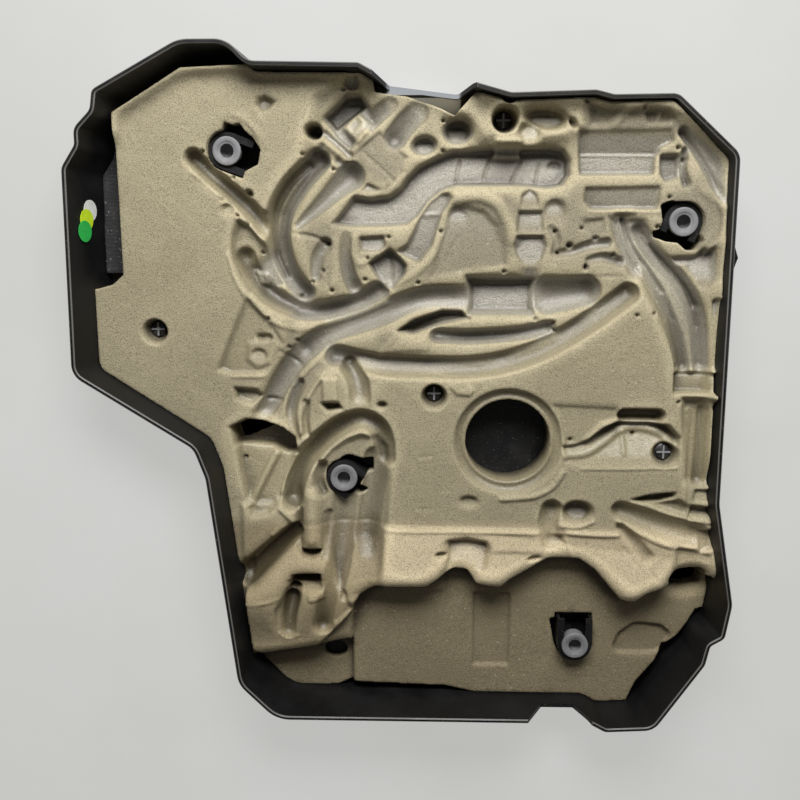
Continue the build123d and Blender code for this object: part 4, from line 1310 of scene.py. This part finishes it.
def post_highlight_mask(tree, x, y, z):
    """Mask of the painted highlight on the tips of the cross-shaped posts."""
    mask = 0.0
    for name in POST_NAMES:
        low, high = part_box("retainer_" + name)
        dx = math_node(tree, "SUBTRACT", x, (low.x + high.x) / 2)
        dy = math_node(tree, "SUBTRACT", y, (low.y + high.y) / 2)
        squares = [math_node(tree, "POWER", side, 2.0) for side in (dx, dy)]
        away = math_node(tree, "SQRT", math_node(tree, "ADD", *squares))
        over = ramp_between(tree, z, high.z, high.z + POST_TIP_RISE)
        tip = times(tree, ramp_between(tree, away, *POST_TIP_AWAY), over)
        mask = math_node(tree, "MAXIMUM", mask, tip)
    return mask


def plastic_material(shell):
    """Black moulded plastic with dust, painted highlight on the rim and post tips, and painted light on the
    opening's facets.
    """
    material, tree, shader = new_material("cover_plastic", 0.42)
    shader.inputs["Specular IOR Level"].default_value = 0.3
    x, y, z = split_geometry(tree, "Position")
    blotch = place_group(tree, blotch_group, Scale=30.0)
    grain = place_group(tree, grain_group, Scale=1800.0)
    dust = place_group(tree, dust_group, Scale=800.0, Film=0.06)
    lighter = mix_colour(tree, 1.0, shell.plastic, PLASTIC_LIFT, "ADD")
    colour = mix_colour(tree, blotch.outputs["Mask"], shell.plastic, lighter)
    colour = mix_colour(tree, times(tree, dust.outputs["Mask"], 0.5), colour, shell.dust)
    # Painted highlight along the rim's top edge
    rim = times(tree, ramp_between(tree, z, *RIM_OVER), ramp_between(tree, z, *RIM_UNDER))
    colour = mix_colour(tree, times(tree, rim, 0.8), colour, shell.rim_highlight)
    # Painted highlight on the post tips
    colour = mix_colour(tree, post_highlight_mask(tree, x, y, z), colour, shell.post)
    # Painted light on the pale facets at the upper opening
    facets = mix_colour(tree, ramp_between(tree, z, *FACET_CHANGE), shell.lower_facet, shell.facet)
    colour = mix_colour(tree, notch_light_mask(tree, x, y, z), colour, facets)
    link_finish(tree, shader, colour, blotch.outputs["Mask"], 0.14, 0.40)
    add_bump(tree, shader, grain.outputs["Height"], 0.00012, 0.5)
    return material


def rubber_material(name, colour, roughness):
    """Black or grey rubber or plastic of the small parts."""
    material, tree, shader = new_material(name, roughness)
    blotch = place_group(tree, blotch_group, Scale=120.0)
    grain = place_group(tree, grain_group, Scale=2200.0)
    dust = place_group(tree, dust_group, Scale=1500.0, Film=0.35)
    mixed = tinted(tree, blotch.outputs["Mask"], colour, RUBBER_TINT)
    mixed = mix_colour(tree, times(tree, dust.outputs["Mask"], 0.4), mixed, RUBBER_DUST)
    link_finish(tree, shader, mixed, blotch.outputs["Mask"], 0.2, roughness)
    add_bump(tree, shader, grain.outputs["Height"], 0.0001, 0.4)
    return material


def strip_material(small):
    """Closed-cell foam with fine ribs across and pale specks."""
    material, tree, shader = new_material("strip_foam", 0.85)
    place = add_node(tree, "ShaderNodeTexCoord")
    ribs = add_node(tree, "ShaderNodeTexWave", bands_direction="Y", Scale=320.0, Distortion=1.5)
    tree.links.new(place.outputs["Object"], ribs.inputs["Vector"])
    grain = place_group(tree, grain_group, Scale=1400.0)
    dust = place_group(tree, dust_group, Scale=620.0, Film=0.1)
    colour = tinted(tree, grain.outputs["Pits"], small.strip, STRIP_TINT)
    colour = mix_colour(tree, dust.outputs["Mask"], colour, STRIP_DUST)
    tree.links.new(colour, shader.inputs["Base Color"])
    height = math_node(tree, "ADD", grain.outputs["Height"], ribs.outputs["Fac"])
    add_bump(tree, shader, height, 0.0003, 0.6)
    return material


def dot_material(name, colour):
    """Printed paper with a faint mottle."""
    material, tree, shader = new_material("dot_" + name, 0.5)
    blotch = place_group(tree, blotch_group, Scale=220.0)
    grain = place_group(tree, grain_group, Scale=2600.0)
    mixed = tinted(tree, blotch.outputs["Mask"], colour, DOT_TINT)
    link_finish(tree, shader, mixed, blotch.outputs["Mask"], 0.15, 0.45)
    add_bump(tree, shader, grain.outputs["Height"], 0.00004, 0.3)
    return material


def lathe(name, profile, segments):
    """Closed mesh from a profile of radius and height that starts and ends on the axis."""
    form = bmesh.new()
    rings = []
    turns = [2 * math.pi * k / segments for k in range(segments)]
    for radius, height in profile:
        angles = turns if radius else [0.0]
        places = [(radius * MM * math.cos(a), radius * MM * math.sin(a)) for a in angles]
        rings.append([form.verts.new((x, y, height * MM)) for x, y in places])
    for lower, upper in zip(rings, rings[1:]):
        for k in range(segments):
            after = (k + 1) % segments
            face = [lower[k % len(lower)], lower[after % len(lower)]]
            face += [upper[after % len(upper)], upper[k % len(upper)]]
            form.faces.new(list(dict.fromkeys(face)))
    bmesh.ops.recalc_face_normals(form, faces=form.faces)
    mesh = mesh_from(form, name)
    mesh.set_sharp_from_angle(angle=SHARP_ANGLE)
    return mesh


def grommet_profile():
    """Radius and height below the face, from the tail's middle up and down into the socket."""
    ball, bore, bore_end, steps = 5.8, 4.7, -2.8, 8
    middle = bore_end - math.sqrt(ball ** 2 - bore ** 2)
    tail = middle - ball - 1.0
    outside = [
        (0, tail), (7.2, tail), (8.6, tail + 0.8), (9.0, tail + 1.8), (9.0, -6.15), (7.7, -6.15),
        (7.7, -3.0), (9.7, -3.0), (10.0, -2.7), (10.0, -0.7), (9.9, -0.3), (9.6, -0.08), (9.2, 0),
    ]
    face = [
        (6.7, 0), (6.5, -0.12), (6.3, -0.45), (5.2, -0.6), (4.85, -0.8), (bore, -1.2), (bore, bore_end),
    ]
    start = math.asin(bore / ball)
    angles = [start + (math.pi - start) * k / steps for k in range(1, steps)]
    socket = [(ball * math.sin(a), middle + ball * math.cos(a)) for a in angles]
    return outside + face + socket + [(0, middle - ball)]


class CoverPieceOperator:
    """What the operators share."""

    bl_options = {"REGISTER", "UNDO"}


class COVER_OT_stage(CoverPieceOperator, bpy.types.Operator):
    """Make the floor, the light and the camera"""

    bl_idname = "cover.stage"
    bl_label = "Stage"

    def execute(self, context):
        stage = context.scene.cover_stage
        self.make_floor(stage)
        self.make_light(context, stage)
        self.make_camera(context, stage)
        return {"FINISHED"}

    def make_floor(self, stage):
        """Large pale floor that keeps the object's shadow."""
        form = bmesh.new()
        bmesh.ops.create_grid(form, x_segments=FLOOR_CELLS, y_segments=FLOOR_CELLS, size=FLOOR_SIZE)
        floor = new_object("floor", mesh_from(form, "floor"))
        floor.location.z = FLOOR_HEIGHT
        material, tree, shader = new_material("floor_paper", 0.9)
        blotch = place_group(tree, blotch_group, Scale=3.0)
        colour = tinted(tree, blotch.outputs["Mask"], stage.floor, FLOOR_TINT)
        tree.links.new(colour, shader.inputs["Base Color"])
        self.show_plain(tree, shader, colour)
        dress(floor, material)

    def show_plain(self, tree, shader, colour):
        """Part of what the camera and glossy surfaces see of the floor is its plain colour."""
        rays = add_node(tree, "ShaderNodeLightPath")
        seen = math_node(tree, "MAXIMUM", rays.outputs["Is Camera Ray"], rays.outputs["Is Glossy Ray"])
        seen = math_node(tree, "MAXIMUM", seen, rays.outputs["Is Transmission Ray"])
        glow = add_node(tree, "ShaderNodeEmission", Strength=FLOOR_GLOW)
        tree.links.new(colour, glow.inputs["Color"])
        mix = add_node(tree, "ShaderNodeMixShader")
        tree.links.new(times(tree, seen, FLOOR_PLAIN_SHARE), mix.inputs[0])
        tree.links.new(shader.outputs[0], mix.inputs[1])
        tree.links.new(glow.outputs[0], mix.inputs[2])
        output = tree.nodes["Material Output"]
        tree.links.new(mix.outputs[0], output.inputs["Surface"])

    def make_light(self, context, stage):
        """One large soft lamp beyond the top edge, and even light from all round."""
        lamp = bpy.data.lights.new("soft_lamp", "AREA")
        lamp.shape = "RECTANGLE"
        lamp.size, lamp.size_y = LAMP_SIZE
        lamp.energy = stage.lamp_power
        holder = bpy.data.objects.new("soft_lamp", lamp)
        context.scene.collection.objects.link(holder)
        holder.location = LAMP_PLACE
        away = Vector(LAMP_AIM) - Vector(LAMP_PLACE)
        holder.rotation_euler = away.to_track_quat("-Z", "Y").to_euler()
        world = bpy.data.worlds.new("even_light")
        world.use_nodes = True
        background = world.node_tree.nodes["Background"]
        background.inputs["Color"].default_value = SKY_COLOUR
        background.inputs["Strength"].default_value = stage.sky
        context.scene.world = world
        context.scene.view_settings.view_transform = "Standard"

    def make_camera(self, context, stage):
        """Camera that looks steeply down, with the picture's side kept level."""
        camera = bpy.data.cameras.new("camera")
        camera.lens = stage.lens
        camera.sensor_width = SENSOR_WIDTH
        camera.sensor_fit = "HORIZONTAL"
        holder = bpy.data.objects.new("camera", camera)
        context.scene.collection.objects.link(holder)
        eye = Vector(stage.eye)
        back = (eye - Vector(stage.aim)).normalized()
        right = Vector((0, 1, 0)).cross(back).normalized()
        turn = Matrix((right, back.cross(right), back)).transposed()
        holder.matrix_world = Matrix.Translation(eye) @ turn.to_4x4()
        context.scene.camera = holder


class COVER_OT_shell(CoverPieceOperator, bpy.types.Operator):
    """Give the moulded cover its plastic"""

    bl_idname = "cover.shell"
    bl_label = "Cover shell"

    def execute(self, context):
        shell = context.scene.cover_shell
        dress(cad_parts["cover_shell"], plastic_material(shell))
        return {"FINISHED"}


class COVER_OT_foam(CoverPieceOperator, bpy.types.Operator):
    """Make the foam pad with its pressed relief"""

    bl_idname = "cover.foam"
    bl_label = "Foam pad"

    def execute(self, context):
        foam = context.scene.cover_foam
        relief = foam_relief(foam)
        mesh = thinned(context, foam_mesh(relief), foam.triangles)
        paint_masks(mesh, relief)
        piece = new_object("foam", mesh)
        dress(piece, foam_material(foam))
        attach(piece, "root")
        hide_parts("foam_pad")
        return {"FINISHED"}


class COVER_OT_grommets(CoverPieceOperator, bpy.types.Operator):
    """Make the four rubber grommets"""

    bl_idname = "cover.grommets"
    bl_label = "Grommets"

    def execute(self, context):
        small = context.scene.cover_small
        material = rubber_material("grommet_rubber", small.rubber, 0.5)
        for name in GROMMET_NAMES:
            node = "grommet_" + name
            low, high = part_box(node)
            piece = new_object("socket_" + name, lathe(node, grommet_profile(), small.segments))
            piece.location = ((low.x + high.x) / 2, (low.y + high.y) / 2, high.z)
            dress(piece, material)
            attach(piece, "root")
            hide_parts(node)
        return {"FINISHED"}


class COVER_OT_caps(CoverPieceOperator, bpy.types.Operator):
    """Give the push-on caps their plastic"""

    bl_idname = "cover.caps"
    bl_label = "Caps"

    def execute(self, context):
        small = context.scene.cover_small
        material = rubber_material("cap_plastic", small.cap, 0.3)
        for name in POST_NAMES:
            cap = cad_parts["retainer_" + name]
            dress(cap, material)
        return {"FINISHED"}


class COVER_OT_strip(CoverPieceOperator, bpy.types.Operator):
    """Make the soft seal strip along the left wall"""

    bl_idname = "cover.strip"
    bl_label = "Seal strip"

    def execute(self, context):
        small = context.scene.cover_small
        block = new_object("strip_block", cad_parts["seal_strip"].data.copy())
        remesh = block.modifiers.new("soften", "REMESH")
        remesh.mode = "VOXEL"
        remesh.voxel_size = small.strip_voxel
        relax = block.modifiers.new("relax", "SMOOTH")
        relax.iterations = 4
        piece = new_object("strip", applied(context, block))
        dress(piece, strip_material(small))
        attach(piece, "root")
        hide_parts("seal_strip")
        return {"FINISHED"}


class COVER_OT_dots(CoverPieceOperator, bpy.types.Operator):
    """Give the inspection dots their paint"""

    bl_idname = "cover.dots"
    bl_label = "Inspection dots"

    def execute(self, context):
        small = context.scene.cover_small
        for name in DOT_NAMES:
            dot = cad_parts["inspection_dot_" + name]
            dress(dot, dot_material(name, getattr(small, name)))
        return {"FINISHED"}


class VIEW3D_PT_cover(bpy.types.Panel):
    """Lists the pieces of the engine cover"""

    bl_label = "Engine cover"
    bl_idname = "VIEW3D_PT_cover"
    bl_space_type = "VIEW_3D"
    bl_region_type = "UI"
    bl_category = "Cover"

    def draw(self, context):
        for operator in OPERATORS:
            self.layout.operator(operator.bl_idname)


OPERATORS = (
    COVER_OT_stage, COVER_OT_shell, COVER_OT_foam, COVER_OT_grommets, COVER_OT_caps, COVER_OT_strip,
    COVER_OT_dots,
)
GROUPS = {
    "cover_foam": CoverFoamSettings,
    "cover_shell": CoverShellSettings,
    "cover_small": CoverSmallPartSettings,
    "cover_stage": CoverStageSettings,
}


def register():
    """Make Blender know the settings, operators and panel."""
    for name, group in GROUPS.items():
        bpy.utils.register_class(group)
        setattr(bpy.types.Scene, name, PointerProperty(type=group))
    for operator in OPERATORS:
        bpy.utils.register_class(operator)
    bpy.utils.register_class(VIEW3D_PT_cover)


def unregister():
    """Take the settings, operators and panel away again."""
    bpy.utils.unregister_class(VIEW3D_PT_cover)
    for operator in reversed(OPERATORS):
        bpy.utils.unregister_class(operator)
    for name, group in GROUPS.items():
        delattr(bpy.types.Scene, name)
        bpy.utils.unregister_class(group)


def main():
    """Register the add-on and dress the cover."""
    register()
    bpy.ops.cover.stage()
    bpy.ops.cover.shell()
    bpy.ops.cover.foam()
    bpy.ops.cover.grommets()
    bpy.ops.cover.caps()
    bpy.ops.cover.strip()
    bpy.ops.cover.dots()


if __name__ == "__main__":
    main()
